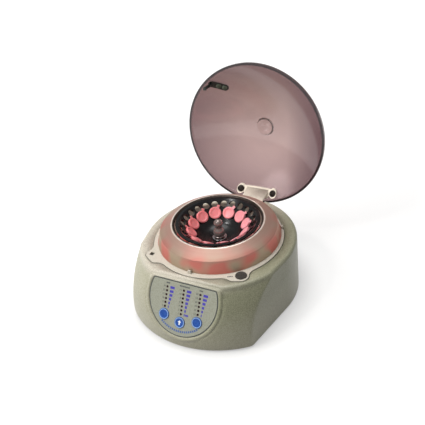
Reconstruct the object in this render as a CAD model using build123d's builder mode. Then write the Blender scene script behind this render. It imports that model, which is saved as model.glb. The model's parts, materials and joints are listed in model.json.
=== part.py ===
from build123d import *
import os
from math import asin, cos, hypot, radians, sin, sqrt, tan

os.makedirs("parts", exist_ok=True)

# A small bench centrifuge and vortex mixer with its smoked lid swung open.
# Millimetres. The origin is on the rotor axis at bench level, +Z up, front towards -Y.

# Housing
body_r = 81.0
flank_angle = 10.5
corner_r = 9.0
deck_z = 64.5
foot_gap = 2.0
wall = 2.5
deck_round = 3.5
# Radius of the bulging front at heights above the housing's lower edge
front_profile = ((0.0, 103.4), (12.0, 103.9), (26.0, 101.6), (40.5, 96.3), (53.0, 88.8), (62.5, 82.0))

# Sloping control facet and its raised bezel
facet_y = -77.2
facet_z = 60.4
facet_slope = 60.0
facet_round = 3.0
bezel_r = 42.5
bezel_drop = 15.0
bezel_top = 3.0
bezel_corner = 6.0
bezel_lift = 1.5
bezel_round = 2.6
bezel_depth = 14.0

# Control panel, keys and lamps
panel_r = 37.8
panel_top = 0.5
panel_thickness = 1.0
panel_corner = 1.5
panel_gap = 0.4
key_r = 5.5
key_gap = 0.2
key_proud = 0.8
key_travel = 0.8
key_flange = 1.1
key_flange_thickness = 1.0
key_x = 18.4
side_key_drop = 34.4
middle_key_drop = 38.9
lamp_r = 1.2
lamp_gap = 0.1
lamp_proud = 0.15
lamp_pitch = 3.95
lamp_top = 6.8
lamp_columns = {"left_lamps": (-18.6, 6), "middle_lamps": (0.0, 7), "right_lamps": (18.2, 6)}
board_depth = 10.0
board_thickness = 1.6
board_width = 58.0
board_height = 42.0
board_drop = 24.0
standoff_r = 2.5
standoff_inset = 4.0
switch_side = 6.0
switch_height = 3.2

# Insert in the deck, guard ring and rotor chamber
insert_r = 68.4
insert_shift = 2.0
insert_depth = 1.2
insert_proud = 1.0
insert_gap = 0.45
insert_round = 0.6
lobe_blend = 12.0
button_x = 49.3
button_y = -52.8
button_lobe_r = 7.6
label_x = 43.0
label_y = -56.6
label_lobe_r = 6.0
latch_x = -52.0
latch_y = -51.8
latch_lobe_r = 6.4
latch_lobe_run = 10.0
latch_lobe_turn = -31.5
well_r = 61.0
ring_foot_r = 65.0
ring_step_r = 61.5
ring_step_z = 78.0
ring_crown_r = 48.3
ring_top_z = 85.2
ring_lip_r = 45.4
ring_step = 0.5
ring_wall = 1.4
ring_crown_wall = 2.0
ring_band_wall = 2.2
clip_width = 3.4
clip_height = 3.2
clip_thickness = 2.2
clip_count = 3
chamber_gap = 0.4
chamber_wall = 1.2
chamber_floor_z = 42.0
chamber_flange = 2.2
chamber_flange_thickness = 1.0

# Rotor, its nut and the tubes in it
rotor_rim_r = 44.2
rotor_top_z = 85.1
rotor_hub_z = 63.0
cone_foot_r = 19.0
cone_angle = 45.0
rotor_wall = 3.0
rotor_hub_r = 9.0
rotor_hub_length = 11.0
tube_count = 12
tube_seat_r = 29.8
tube_start = 4.0
tube_r = 5.35
tube_gap = 0.1
tube_length = 39.5
tube_taper = 17.0
tube_tip_r = 1.8
cap_r = 6.65
cap_height = 2.5
cap_rim = 0.5
tab_length = 3.6
tab_width = 3.2
tab_thickness = 1.2
tab_turn = 35.0
small_hole_count = 24
small_hole_r = 3.6
small_hole_seat_r = 37.0
small_hole_start = 2.0
shaft_r = 3.0
shaft_foot_z = 8.0
shaft_top_z = 72.0
washer_r = 7.5
washer_thickness = 1.2
nut_foot_r = 4.6
nut_bulge_r = 6.2
nut_bulge_z = 69.4
nut_neck_r = 3.4
nut_neck_z = 75.4
nut_ball_r = 4.8
nut_ball_z = 80.6

# Motor on its rubber mounts
bearing_gap = 0.04
motor_r = 22.0
motor_foot_z = 10.0
motor_nose_r = 8.0
motor_nose_z = 46.0
nose_gap = 0.5
motor_plate_r = 38.0
motor_plate_z = 36.0
motor_plate_thickness = 2.0
mount_count = 3
mount_circle_r = 31.0
mount_r = 6.0
mount_waist_r = 4.5
motor_screw_circle_r = 15.0
motor_screw_r = 1.5
motor_screw_head_r = 2.8
motor_screw_head = 2.0
motor_screw_length = 8.0

# Base plate, feet and screws
plate_thickness = 2.0
plate_gap = 0.3
foot_r = 8.0
foot_stud_r = 2.5
foot_stud = 3.0
foot_places = ((50.0, -62.0), (-50.0, -62.0), (44.0, 44.0), (-44.0, 44.0))
boss_r = 4.5
boss_height = 16.0
boss_along = 35.0
boss_rear_angle = 40.0
boss_bite = 1.5
base_screw_r = 1.4
base_screw_head_r = 3.0
base_screw_length = 12.0

# Lid, swung about the pin behind the deck
hinge_y = 79.1
hinge_z = 55.1
lid_open = 97.0
lid_rim_z = 65.9
lid_r = 81.1
lid_rise = 34.5
lid_skirt = 5.0
lid_knuckle = 5.0
lid_wall = 2.5
knob_r = 10.8
knob_rise = 6.0
knob_wall = 2.0
leaf_thickness = 1.6
leaf_half = 15.0
leaf_front_y = 66.8
leaf_rear_y = 76.0
leaf_ear_r = 4.8
leaf_screw_x = 20.0
leaf_screw_y = 70.0
leaf_screw_r = 4.0
leaf_screw_height = 1.6
arm_half = 13.0
arm_thickness = 3.0
arm_top_y = 70.5
barrel_r = 4.0
barrel_half = 14.6
pin_r = 1.8
pin_gap = 0.05
pin_half = 18.6

# Pocket and bracket for the hinge
pocket_half = 19.5
pocket_front_y = 69.0
pocket_floor_z = 48.0
bracket_thickness = 2.0
bracket_front_gap = 1.0
cheek_in = 15.1
cheek_out = 17.6
cheek_r = 4.6

# Latch: hook in the lid, bolt and solenoid under the deck
latch_hole = 4.6
hook_width = 3.0
hook_stem = 1.6
hook_barb = 1.5
hook_tip_z = 53.4
hook_barb_height = 2.2
hook_plate_thickness = 1.2
hook_plate_half = 3.9
hook_screw_runs = (6.4, 12.4)
hook_turn = 22.0
hook_screw_r = 3.1
hook_screw_height = 1.0
bolt_clear = 0.3
bolt_height = 2.0
bolt_bar_x = 2.4
solenoid_gap = 1.0
solenoid_length = 12.0
solenoid_width = 10.0
solenoid_height = 9.0
solenoid_offset = 7.2
plunger_r = 2.0
plunger_gap = 0.05
plunger_length = 8.0

# Release button and its switch
button_r = 5.6
button_gap = 0.2
button_proud = 0.9
button_travel = 2.0
button_flange_r = 7.2
button_flange = 1.0
button_stem_r = 2.2
button_stem_z = 57.0
button_switch_gap = 0.5
button_switch_size = (10.0, 7.0, 6.0)
hanger_thickness = 1.5

# Rear recess with the power inlet and the rocker switch
recess_half = 28.0
recess_y = 75.0
recess_low_z = 12.0
recess_high_z = 38.0
inlet_x = 15.0
inlet_z = 25.0
inlet_flange_r = 6.5
inlet_flange = 1.2
inlet_barrel_r = 4.8
inlet_length = 12.0
inlet_bore_r = 3.0
inlet_bore = 9.0
inlet_pin_r = 0.9
rocker_x = -15.0
rocker_z = 25.0
rocker_half = 4.5
rocker_r = 6.0
rocker_swing = 14.0
rocker_depth = 2.6
rocker_gap = 0.4
rocker_pivot_r = 1.5
rocker_pivot_gap = 0.05
frame_half_x = 8.0
frame_half_z = 10.5
frame_flange = 1.2
frame_depth = 12.0
frame_wall = 1.6


def left(point):
    """The same point on the other side of the middle."""
    return (-point[0], point[1])


def plan_outline(front_r, inset):
    """Plan of the housing: a round back, two flanks that close in, and a bowed front."""
    back = body_r - inset
    front = front_r - inset
    corner = corner_r - inset
    turn = radians(flank_angle)
    along = sqrt((front - corner) ** 2 - (back - corner) ** 2)
    centre = (
        (back - corner) * cos(turn) - along * sin(turn),
        -(back - corner) * sin(turn) - along * cos(turn),
    )
    flank_start = (back * cos(turn), -back * sin(turn))
    flank_end = (centre[0] + corner * cos(turn), centre[1] - corner * sin(turn))
    reach = front / (front - corner)
    front_end = (centre[0] * reach, centre[1] * reach)
    toward = (
        flank_end[0] + front_end[0] - 2 * centre[0],
        flank_end[1] + front_end[1] - 2 * centre[1],
    )
    scale = corner / hypot(*toward)
    corner_middle = (centre[0] + toward[0] * scale, centre[1] + toward[1] * scale)
    with BuildSketch() as outline:
        with BuildLine():
            ThreePointArc(flank_start, (0, back), left(flank_start))
            Line(left(flank_start), left(flank_end))
            ThreePointArc(left(flank_end), left(corner_middle), left(front_end))
            ThreePointArc(left(front_end), (0, -front), front_end)
            ThreePointArc(front_end, corner_middle, flank_end)
            Line(flank_end, flank_start)
        make_face()
    return outline.sketch


def front_radius(height):
    """Radius of the bowed front at a height above the housing's lower edge."""
    for (low, low_r), (high, high_r) in zip(front_profile, front_profile[1:]):
        if height <= high:
            return low_r + (high_r - low_r) * (height - low) / (high - low)
    return front_profile[-1][1]


def housing_stations(top):
    """Heights and front radii of the plan outlines that the housing is lofted through."""
    return [pair for pair in front_profile if pair[0] < top - 1] + [(top, front_radius(top))]


facet = Plane(
    origin=(0, facet_y, facet_z),
    x_dir=(1, 0, 0),
    z_dir=(0, -sin(radians(facet_slope)), cos(radians(facet_slope))),
)
facet_normal = Axis(facet.origin, facet.z_dir)


def facet_point(depth, height):
    """Y of the facet, sunk by a depth, at a height above the bench."""
    origin = facet.offset(-depth).origin
    return origin.Y + (height - origin.Z) / tan(radians(facet_slope))


def inner_form():
    """The room inside the housing, one wall in from its outer form."""
    room = deck_z - wall - foot_gap
    with BuildPart() as cavity:
        for height, front_r in housing_stations(room):
            with BuildSketch(Plane.XY.offset(foot_gap + height)):
                add(plan_outline(front_r, wall))
        loft()
        with BuildSketch(facet.offset(-bezel_lift - wall)):
            Rectangle(4 * body_r, 4 * body_r)
        extrude(amount=2 * body_r, mode=Mode.SUBTRACT)
        with Locations((0, pocket_front_y - wall, pocket_floor_z - wall)):
            Box(
                2 * (pocket_half + wall), body_r, deck_z,
                align=(Align.CENTER, Align.MIN, Align.MIN), mode=Mode.SUBTRACT,
            )
        with Locations((0, recess_y - wall, recess_low_z - wall)):
            Box(
                2 * (recess_half + wall), body_r, recess_high_z - recess_low_z + 2 * wall,
                align=(Align.CENTER, Align.MIN, Align.MIN), mode=Mode.SUBTRACT,
            )
    return cavity.part


def insert_outline(gap):
    """Plan of the deck insert: a disc with a lobe round the button and one round the latch."""
    run_x = latch_lobe_run / 2 * cos(radians(latch_lobe_turn))
    run_y = latch_lobe_run / 2 * sin(radians(latch_lobe_turn))
    with BuildSketch() as outline:
        with Locations((0, -insert_shift)):
            Circle(insert_r + gap)
        with BuildSketch(mode=Mode.PRIVATE) as button_lobe:
            with Locations((button_x, button_y)):
                Circle(button_lobe_r + gap)
            with Locations((label_x, label_y)):
                Circle(label_lobe_r + gap)
            make_hull()
        add(button_lobe.sketch)
        with Locations((latch_x + run_x, latch_y + run_y)):
            SlotCenterToCenter(
                latch_lobe_run, 2 * (latch_lobe_r + gap), rotation=latch_lobe_turn
            )
        meetings = [
            corner for corner in outline.vertices()
            if abs(hypot(corner.X, corner.Y + insert_shift) - insert_r - gap) < 0.01
        ]
        fillet(meetings, lobe_blend - gap)
    return outline.sketch


def panel_outline(gap):
    """The D-shaped panel: a circle cut straight across its top."""
    with BuildSketch() as outline:
        with Locations((0, -bezel_drop)):
            Circle(panel_r + gap)
        with Locations((0, panel_top + gap)):
            Rectangle(
                4 * panel_r, 2 * panel_r, align=(Align.CENTER, Align.MIN), mode=Mode.SUBTRACT
            )
        fillet(outline.vertices(), panel_corner)
    return outline.sketch


key_places = {
    "time_key": (-key_x, -side_key_drop),
    "start_key": (0.0, -middle_key_drop),
    "speed_key": (key_x, -side_key_drop),
}


def lamp_places(column):
    """Centres of one column of lamps, from the top down, in the facet's own plane."""
    x, count = lamp_columns[column]
    return [(x, -lamp_top - step * lamp_pitch) for step in range(count)]


turn = radians(flank_angle)
boss_circle_r = body_r - wall - boss_r + boss_bite
front_boss = (
    boss_circle_r * cos(turn) - boss_along * sin(turn),
    -boss_circle_r * sin(turn) - boss_along * cos(turn),
)
rear_boss = (
    boss_circle_r * cos(radians(boss_rear_angle)),
    boss_circle_r * sin(radians(boss_rear_angle)),
)
boss_places = (front_boss, left(front_boss), rear_boss, left(rear_boss))
plate_top_z = foot_gap + plate_thickness
insert_top_z = deck_z + insert_proud
insert_bottom_z = deck_z - insert_depth
deck_under_z = deck_z - wall

# Housing: one moulded shell, bowed in front, with a raised bezel on its facet
with BuildPart() as outer_form:
    body_height = deck_z - deck_round - foot_gap
    for height, front_r in housing_stations(body_height):
        with BuildSketch(Plane.XY.offset(foot_gap + height)):
            add(plan_outline(front_r, 0))
    loft()
    shoulder_r = front_radius(body_height)
    for tilt in (0, 30, 60, 90):
        rise = deck_round * sin(radians(tilt))
        with BuildSketch(Plane.XY.offset(deck_z - deck_round + rise)):
            add(plan_outline(shoulder_r, deck_round * (1 - cos(radians(tilt)))))
    loft()
    # The level deck rolls over into the sloping facet
    deck_corner = (facet_point(bezel_lift, deck_z), deck_z)
    facet_foot = (facet_point(bezel_lift, 0), 0)
    clear_z = 2 * deck_z
    with BuildSketch(Plane.YZ) as front_cut:
        with BuildLine():
            Polyline(
                (0, deck_z), deck_corner, facet_foot,
                (-3 * body_r, 0), (-3 * body_r, clear_z), (0, clear_z),
                close=True,
            )
        make_face()
        roll = front_cut.vertices().sort_by_distance(deck_corner)[0]
        fillet(roll, facet_round)
    extrude(amount=2 * body_r, both=True, mode=Mode.SUBTRACT)

with BuildPart() as bezel:
    with BuildSketch(facet) as bezel_sketch:
        with Locations((0, -bezel_drop)):
            Circle(bezel_r)
        with Locations((0, bezel_top)):
            Rectangle(
                4 * bezel_r, 2 * bezel_r, align=(Align.CENTER, Align.MIN), mode=Mode.SUBTRACT
            )
        fillet(bezel_sketch.vertices(), bezel_corner)
    extrude(amount=-bezel_depth)
    fillet(bezel.faces().sort_by(facet_normal)[-1].edges(), bezel_round)

with BuildPart() as housing:
    add(outer_form.part)
    add(bezel.part)
    add(inner_form(), mode=Mode.SUBTRACT)
    with Locations(*[(x, y, plate_top_z) for x, y in boss_places]):
        Cylinder(boss_r, boss_height, align=(Align.CENTER, Align.CENTER, Align.MIN))
    with Locations(*[(x, y, foot_gap) for x, y in boss_places]):
        Cylinder(
            base_screw_r, base_screw_length,
            align=(Align.CENTER, Align.CENTER, Align.MIN), mode=Mode.SUBTRACT,
        )
    # Seat of the panel, with the holes for its keys and lamps
    with BuildSketch(facet):
        add(panel_outline(panel_gap))
    extrude(amount=-panel_thickness, mode=Mode.SUBTRACT)
    with BuildSketch(facet):
        with Locations(*key_places.values()):
            Circle(key_r + key_gap)
        for column in lamp_columns:
            with Locations(*lamp_places(column)):
                Circle(lamp_r + lamp_gap)
    extrude(amount=-2 * wall - bezel_lift, mode=Mode.SUBTRACT)
    # Seat of the insert and the well for the rotor chamber
    with BuildSketch(Plane.XY.offset(insert_bottom_z)):
        add(insert_outline(insert_gap))
    extrude(amount=2 * insert_depth, mode=Mode.SUBTRACT)
    with BuildSketch(Plane.XY.offset(deck_z)):
        Circle(well_r)
        with Locations((button_x, button_y)):
            Circle(button_r + button_gap)
        with Locations((latch_x, latch_y)):
            Rectangle(latch_hole, latch_hole)
    extrude(amount=-2 * wall, mode=Mode.SUBTRACT)
    # Open pocket for the hinge, and the recess for the inlet and the switch
    with Locations((0, pocket_front_y, pocket_floor_z)):
        Box(
            2 * pocket_half, body_r, deck_z,
            align=(Align.CENTER, Align.MIN, Align.MIN), mode=Mode.SUBTRACT,
        )
    with Locations((0, recess_y, recess_low_z)):
        Box(
            2 * recess_half, body_r, recess_high_z - recess_low_z,
            align=(Align.CENTER, Align.MIN, Align.MIN), mode=Mode.SUBTRACT,
        )
    with BuildSketch(Plane.XZ.offset(-recess_y)):
        with Locations((inlet_x, inlet_z)):
            Circle(inlet_barrel_r)
        with Locations((rocker_x, rocker_z)):
            Rectangle(2 * (frame_half_x - frame_wall), 2 * (frame_half_z - frame_wall))
    extrude(amount=2 * wall, mode=Mode.SUBTRACT)

# Deck insert: a paler moulding let into the deck round the guard ring
with BuildPart() as deck_insert:
    with BuildSketch(Plane.XY.offset(insert_bottom_z)):
        add(insert_outline(0))
    extrude(amount=insert_depth + insert_proud)
    fillet(deck_insert.faces().sort_by(Axis.Z)[-1].edges(), insert_round)
    with BuildSketch(Plane.XY.offset(insert_top_z)):
        Circle(well_r)
        with Locations((button_x, button_y)):
            Circle(button_r + button_gap)
        with Locations((latch_x, latch_y)):
            Rectangle(latch_hole, latch_hole)
    extrude(amount=-2 * wall, mode=Mode.SUBTRACT)

# Guard ring: spun metal, with a step under its sloping crown and a lip turned in at the top
with BuildPart() as guard_ring:
    outer_line = (
        (ring_foot_r, insert_top_z),
        (ring_step_r, ring_step_z),
        (ring_step_r - ring_step, ring_step_z + ring_step),
        (ring_crown_r, ring_top_z),
        (ring_lip_r, ring_top_z - ring_wall),
    )
    inner_line = (
        (ring_lip_r, ring_top_z - 2 * ring_wall),
        (ring_crown_r - ring_step, ring_top_z - ring_crown_wall),
        (ring_step_r - ring_band_wall, ring_step_z - ring_step),
        (ring_foot_r - ring_wall, insert_top_z),
    )
    with BuildSketch(Plane.XZ):
        with BuildLine():
            Polyline(*outer_line, *inner_line, close=True)
        make_face()
    revolve(axis=Axis.Z)
    crown = guard_ring.edges().filter_by(GeomType.CIRCLE).sort_by(Axis.Z)[-1]
    fillet(crown, ring_wall / 2)

# Three clips that hold the foot of the ring down
with BuildPart() as ring_clips:
    with BuildSketch(Plane.XY.offset(insert_top_z)):
        with PolarLocations(ring_foot_r + clip_thickness / 2, clip_count, start_angle=-90):
            Rectangle(clip_thickness, clip_width)
    extrude(amount=clip_height)
    with BuildSketch(Plane.XZ):
        with BuildLine():
            Polyline(*outer_line, (0, ring_top_z), (0, insert_top_z), close=True)
        make_face()
    revolve(axis=Axis.Z, mode=Mode.SUBTRACT)
    chamfer(ring_clips.edges().group_by(Axis.Z)[-1], clip_thickness / 5)

# Rotor chamber: a deep drawn bowl that hangs in the well by its flange
with BuildPart() as rotor_chamber:
    bowl_r = well_r - chamber_gap
    with BuildSketch(Plane.XY.offset(chamber_floor_z)):
        Circle(bowl_r)
    extrude(amount=insert_top_z + chamber_flange_thickness - chamber_floor_z)
    with BuildSketch(Plane.XY.offset(insert_top_z)):
        Circle(bowl_r + chamber_flange)
    extrude(amount=chamber_flange_thickness)
    with BuildSketch(Plane.XY.offset(chamber_floor_z + chamber_wall)):
        Circle(bowl_r - chamber_wall)
    extrude(amount=deck_z, mode=Mode.SUBTRACT)
    with BuildSketch(Plane.XY.offset(chamber_floor_z)):
        Circle(motor_nose_r + nose_gap)
    extrude(amount=2 * chamber_wall, mode=Mode.SUBTRACT)

# Base plate, closing the housing from below
with BuildPart() as base_plate:
    with BuildSketch(Plane.XY.offset(foot_gap)):
        add(plan_outline(front_radius(0), wall + plate_gap))
    extrude(amount=plate_thickness)
    with Locations(*[(x, y, foot_gap) for x, y in boss_places]):
        Cylinder(
            base_screw_head_r, plate_thickness / 2,
            align=(Align.CENTER, Align.CENTER, Align.MIN), mode=Mode.SUBTRACT,
        )
        Cylinder(
            base_screw_r, 3 * plate_thickness,
            align=(Align.CENTER, Align.CENTER, Align.CENTER), mode=Mode.SUBTRACT,
        )
    with Locations(*[(x, y, foot_gap) for x, y in foot_places]):
        Cylinder(foot_stud_r, 3 * plate_thickness, mode=Mode.SUBTRACT)

# Screws through the base plate into the bosses of the housing
with BuildPart() as base_screws:
    with Locations(*[(x, y, foot_gap) for x, y in boss_places]):
        Cylinder(
            base_screw_head_r, plate_thickness / 2, align=(Align.CENTER, Align.CENTER, Align.MIN)
        )
        Cylinder(
            base_screw_r, base_screw_length, align=(Align.CENTER, Align.CENTER, Align.MIN)
        )

# Rubber feet, each pushed into the base plate by a stud
with BuildPart() as rubber_feet:
    with Locations(*[(x, y, 0) for x, y in foot_places]):
        Cylinder(foot_r, foot_gap, align=(Align.CENTER, Align.CENTER, Align.MIN))
    with Locations(*[(x, y, foot_gap) for x, y in foot_places]):
        Cylinder(foot_stud_r, foot_stud, align=(Align.CENTER, Align.CENTER, Align.MIN))

# Control panel: a thin D-shaped plate, flush with the bezel
with BuildPart() as control_panel:
    with BuildSketch(facet):
        add(panel_outline(0))
        with Locations(*key_places.values()):
            Circle(key_r + key_gap, mode=Mode.SUBTRACT)
        for column in lamp_columns:
            with Locations(*lamp_places(column)):
                Circle(lamp_r + lamp_gap, mode=Mode.SUBTRACT)
    extrude(amount=-panel_thickness)

# Control board behind the facet, on four standoffs
board_face = facet.offset(-board_depth)
standoff_x = board_width / 2 - standoff_inset
standoff_y = board_height / 2 - standoff_inset
standoff_places = [
    (side * standoff_x, -board_drop + row * standoff_y) for side in (-1, 1) for row in (-1, 1)
]
with BuildPart() as control_board:
    with BuildSketch(board_face):
        with Locations((0, -board_drop)):
            Rectangle(board_width, board_height)
    extrude(amount=-board_thickness)

with BuildPart() as board_standoffs:
    with BuildSketch(board_face):
        with Locations(*standoff_places):
            Circle(standoff_r)
    extrude(amount=board_depth - bezel_lift - wall)

with BuildPart() as key_switches:
    with BuildSketch(board_face):
        with Locations(*key_places.values()):
            Rectangle(switch_side, switch_side)
    extrude(amount=switch_height)


def lamp_column(column):
    """One column of indicator lamps, standing on the board and just proud of the panel."""
    with BuildPart() as lamps:
        with BuildSketch(facet.offset(lamp_proud)):
            with Locations(*lamp_places(column)):
                Circle(lamp_r)
        extrude(amount=-board_depth - lamp_proud)
    return lamps


left_lamps = lamp_column("left_lamps")
middle_lamps = lamp_column("middle_lamps")
right_lamps = lamp_column("right_lamps")


def panel_key(name):
    """A round key with a flange behind the facet that keeps it in."""
    with BuildPart() as key:
        with BuildSketch(facet.offset(key_proud)):
            with Locations(key_places[name]):
                Circle(key_r)
        extrude(amount=-key_proud - bezel_lift - wall - key_travel)
        fillet(key.faces().sort_by(facet_normal)[-1].edges(), key_proud / 2)
        with BuildSketch(facet.offset(-bezel_lift - wall - key_gap)):
            with Locations(key_places[name]):
                Circle(key_r + key_flange)
        extrude(amount=-key_flange_thickness)
    return key


time_key = panel_key("time_key")
start_key = panel_key("start_key")
speed_key = panel_key("speed_key")

# Motor: a can under the mounting plate, with its nose up through the chamber floor
with BuildPart() as motor_body:
    with BuildSketch(Plane.XY.offset(motor_foot_z)):
        Circle(motor_r)
    extrude(amount=motor_plate_z - motor_foot_z)
    fillet(motor_body.edges().sort_by(Axis.Z)[0], wall)
    with BuildSketch(Plane.XY.offset(motor_plate_z)):
        Circle(motor_nose_r)
    extrude(amount=motor_nose_z - motor_plate_z)
    with BuildSketch(Plane.XY):
        Circle(shaft_r + bearing_gap)
    extrude(amount=deck_z, mode=Mode.SUBTRACT)
    with BuildSketch(Plane.XY.offset(motor_plate_z)):
        with PolarLocations(motor_screw_circle_r, mount_count, start_angle=30):
            Circle(motor_screw_r)
    extrude(amount=-motor_screw_length, mode=Mode.SUBTRACT)

with BuildPart() as motor_plate:
    with BuildSketch(Plane.XY.offset(motor_plate_z)):
        Circle(motor_plate_r)
        Circle(motor_nose_r, mode=Mode.SUBTRACT)
        with PolarLocations(motor_screw_circle_r, mount_count, start_angle=30):
            Circle(motor_screw_r, mode=Mode.SUBTRACT)
    extrude(amount=motor_plate_thickness)

with BuildPart() as motor_screws:
    with BuildSketch(Plane.XY.offset(motor_plate_z + motor_plate_thickness)):
        with PolarLocations(motor_screw_circle_r, mount_count, start_angle=30):
            Circle(motor_screw_head_r)
    extrude(amount=motor_screw_head)
    with BuildSketch(Plane.XY.offset(motor_plate_z + motor_plate_thickness)):
        with PolarLocations(motor_screw_circle_r, mount_count, start_angle=30):
            Circle(motor_screw_r)
    extrude(amount=-motor_plate_thickness - motor_screw_length)

# Waisted rubber mounts between the base plate and the motor's plate
with BuildPart() as motor_mounts:
    with BuildPart(mode=Mode.PRIVATE) as one_mount:
        middle_z = (plate_top_z + motor_plate_z) / 2
        with BuildSketch(Plane.XZ):
            with BuildLine():
                Polyline(
                    (mount_r, motor_plate_z),
                    (0, motor_plate_z),
                    (0, plate_top_z),
                    (mount_r, plate_top_z),
                )
                ThreePointArc(
                    (mount_r, plate_top_z), (mount_waist_r, middle_z), (mount_r, motor_plate_z)
                )
            make_face()
        revolve(axis=Axis.Z)
    with PolarLocations(mount_circle_r, mount_count, start_angle=90):
        add(one_mount.part)

# Rotor: a black dish whose 45 degree cone holds the tubes, on a hub
cone_rise = tan(radians(cone_angle))
cone_top_r = cone_foot_r + (rotor_top_z - rotor_hub_z) / cone_rise
under_drop = rotor_wall / cos(radians(cone_angle))


def cone_z(r):
    """Height of the dish's inner cone at a radius."""
    return rotor_hub_z + (r - cone_foot_r) * cone_rise


def seat(r):
    """Plane on the cone, facing out of the dish, at a radius in the middle of the right side."""
    tilt = radians(cone_angle)
    return Plane(origin=(r, 0, cone_z(r)), x_dir=(0, 1, 0), z_dir=(-sin(tilt), 0, cos(tilt)))


# A flat collar in a hollow cone rests on the two sides of its rim
seat_curve_r = tube_seat_r / sin(radians(cone_angle))
cap_lift = seat_curve_r - sqrt(seat_curve_r**2 - cap_r**2)

with BuildPart() as rotor:
    with BuildSketch(Plane.XZ):
        with BuildLine():
            Polyline(
                (0, rotor_hub_z),
                (cone_foot_r, rotor_hub_z),
                (cone_top_r, rotor_top_z),
                (rotor_rim_r, rotor_top_z),
                (rotor_rim_r, cone_z(rotor_rim_r) - under_drop),
                (cone_foot_r + (under_drop - rotor_wall) / cone_rise, rotor_hub_z - rotor_wall),
                (rotor_hub_r, rotor_hub_z - rotor_wall),
                (rotor_hub_r, rotor_hub_z - rotor_hub_length),
                (0, rotor_hub_z - rotor_hub_length),
                close=True,
            )
        make_face()
    revolve(axis=Axis.Z)
    with BuildSketch(Plane.XY):
        Circle(shaft_r)
    extrude(amount=rotor_top_z, mode=Mode.SUBTRACT)
    with BuildPart(mode=Mode.PRIVATE) as tube_hole:
        with BuildSketch(seat(tube_seat_r)):
            Circle(tube_r + tube_gap)
        extrude(amount=2 * rotor_wall, both=True)
    with BuildPart(mode=Mode.PRIVATE) as small_hole:
        with BuildSketch(seat(small_hole_seat_r)):
            Circle(small_hole_r)
        extrude(amount=2 * rotor_wall, both=True)
    with PolarLocations(0, tube_count, start_angle=tube_start):
        add(tube_hole.part, mode=Mode.SUBTRACT)
    with PolarLocations(0, small_hole_count, start_angle=small_hole_start):
        add(small_hole.part, mode=Mode.SUBTRACT)

# Capped sample tubes, seated by their collars on the cone
with BuildPart() as sample_tubes:
    with BuildPart(mode=Mode.PRIVATE) as one_tube:
        below = cap_height - tube_length
        tube_seat = seat(tube_seat_r).offset(cap_lift)
        section = Plane(origin=tube_seat.origin, x_dir=tube_seat.y_dir, z_dir=tube_seat.x_dir)
        with BuildSketch(section) as tube_section:
            with BuildLine():
                Polyline(
                    (0, cap_height),
                    (cap_r - cap_rim, cap_height),
                    (cap_r, cap_height - cap_rim),
                    (cap_r, 0),
                    (tube_r, 0),
                    (tube_r, below + tube_taper),
                    (tube_tip_r, below + cap_rim),
                    (tube_tip_r - cap_rim, below),
                    (0, below),
                    close=True,
                )
            make_face()
        revolve(axis=Axis(tube_seat.origin, tube_seat.z_dir))
        tab_direction = -90 - tab_turn
        with BuildSketch(tube_seat.offset(cap_height - tab_thickness)):
            with PolarLocations(cap_r - cap_rim, 1, start_angle=tab_direction):
                Rectangle(tab_length + cap_rim, tab_width, align=(Align.MIN, Align.CENTER))
        extrude(amount=tab_thickness - cap_rim)
    with PolarLocations(0, tube_count, start_angle=tube_start):
        add(one_tube.part)

with BuildPart() as drive_shaft:
    with BuildSketch(Plane.XY.offset(shaft_foot_z)):
        Circle(shaft_r)
    extrude(amount=shaft_top_z - shaft_foot_z)

with BuildPart() as nut_washer:
    with BuildSketch(Plane.XY.offset(rotor_hub_z)):
        Circle(washer_r)
        Circle(shaft_r, mode=Mode.SUBTRACT)
    extrude(amount=washer_thickness)

# Turned nut with a waist and a ball on top to grip
with BuildPart() as rotor_nut:
    nut_foot_z = rotor_hub_z + washer_thickness
    with BuildSketch(Plane.XZ):
        with BuildLine():
            Polyline(
                (0, nut_ball_z + nut_ball_r), (0, shaft_top_z), (shaft_r, shaft_top_z),
                (shaft_r, nut_foot_z), (nut_foot_r, nut_foot_z),
            )
            ThreePointArc(
                (nut_foot_r, nut_foot_z), (nut_bulge_r, nut_bulge_z), (nut_neck_r, nut_neck_z)
            )
            neck_out = sqrt(nut_ball_r**2 - nut_neck_r**2)
            Line((nut_neck_r, nut_neck_z), (nut_neck_r, nut_ball_z - neck_out))
            ThreePointArc(
                (nut_neck_r, nut_ball_z - neck_out),
                (nut_ball_r, nut_ball_z),
                (0, nut_ball_z + nut_ball_r),
            )
        make_face()
    revolve(axis=Axis.Z)

# Hinge bracket in the pocket, and its pin
with BuildPart() as hinge_bracket:
    with Locations((0, pocket_front_y + bracket_front_gap, pocket_floor_z)):
        Box(
            2 * cheek_out, hinge_y - pocket_front_y - bracket_front_gap, bracket_thickness,
            align=(Align.CENTER, Align.MIN, Align.MIN),
        )
    for side in (-1, 1):
        with BuildSketch(Plane.YZ.offset(side * (cheek_in + cheek_out) / 2)):
            with Locations((hinge_y, hinge_z)):
                Circle(cheek_r)
            with Locations((hinge_y, pocket_floor_z)):
                Rectangle(2 * cheek_r, hinge_z - pocket_floor_z, align=(Align.CENTER, Align.MIN))
        extrude(amount=(cheek_out - cheek_in) / 2, both=True)
    with BuildSketch(Plane.YZ):
        with Locations((hinge_y, hinge_z)):
            Circle(pin_r)
    extrude(amount=pin_half, both=True, mode=Mode.SUBTRACT)

with BuildPart() as hinge_pin:
    with BuildSketch(Plane.YZ):
        with Locations((hinge_y, hinge_z)):
            Circle(pin_r)
    extrude(amount=pin_half, both=True)

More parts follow.
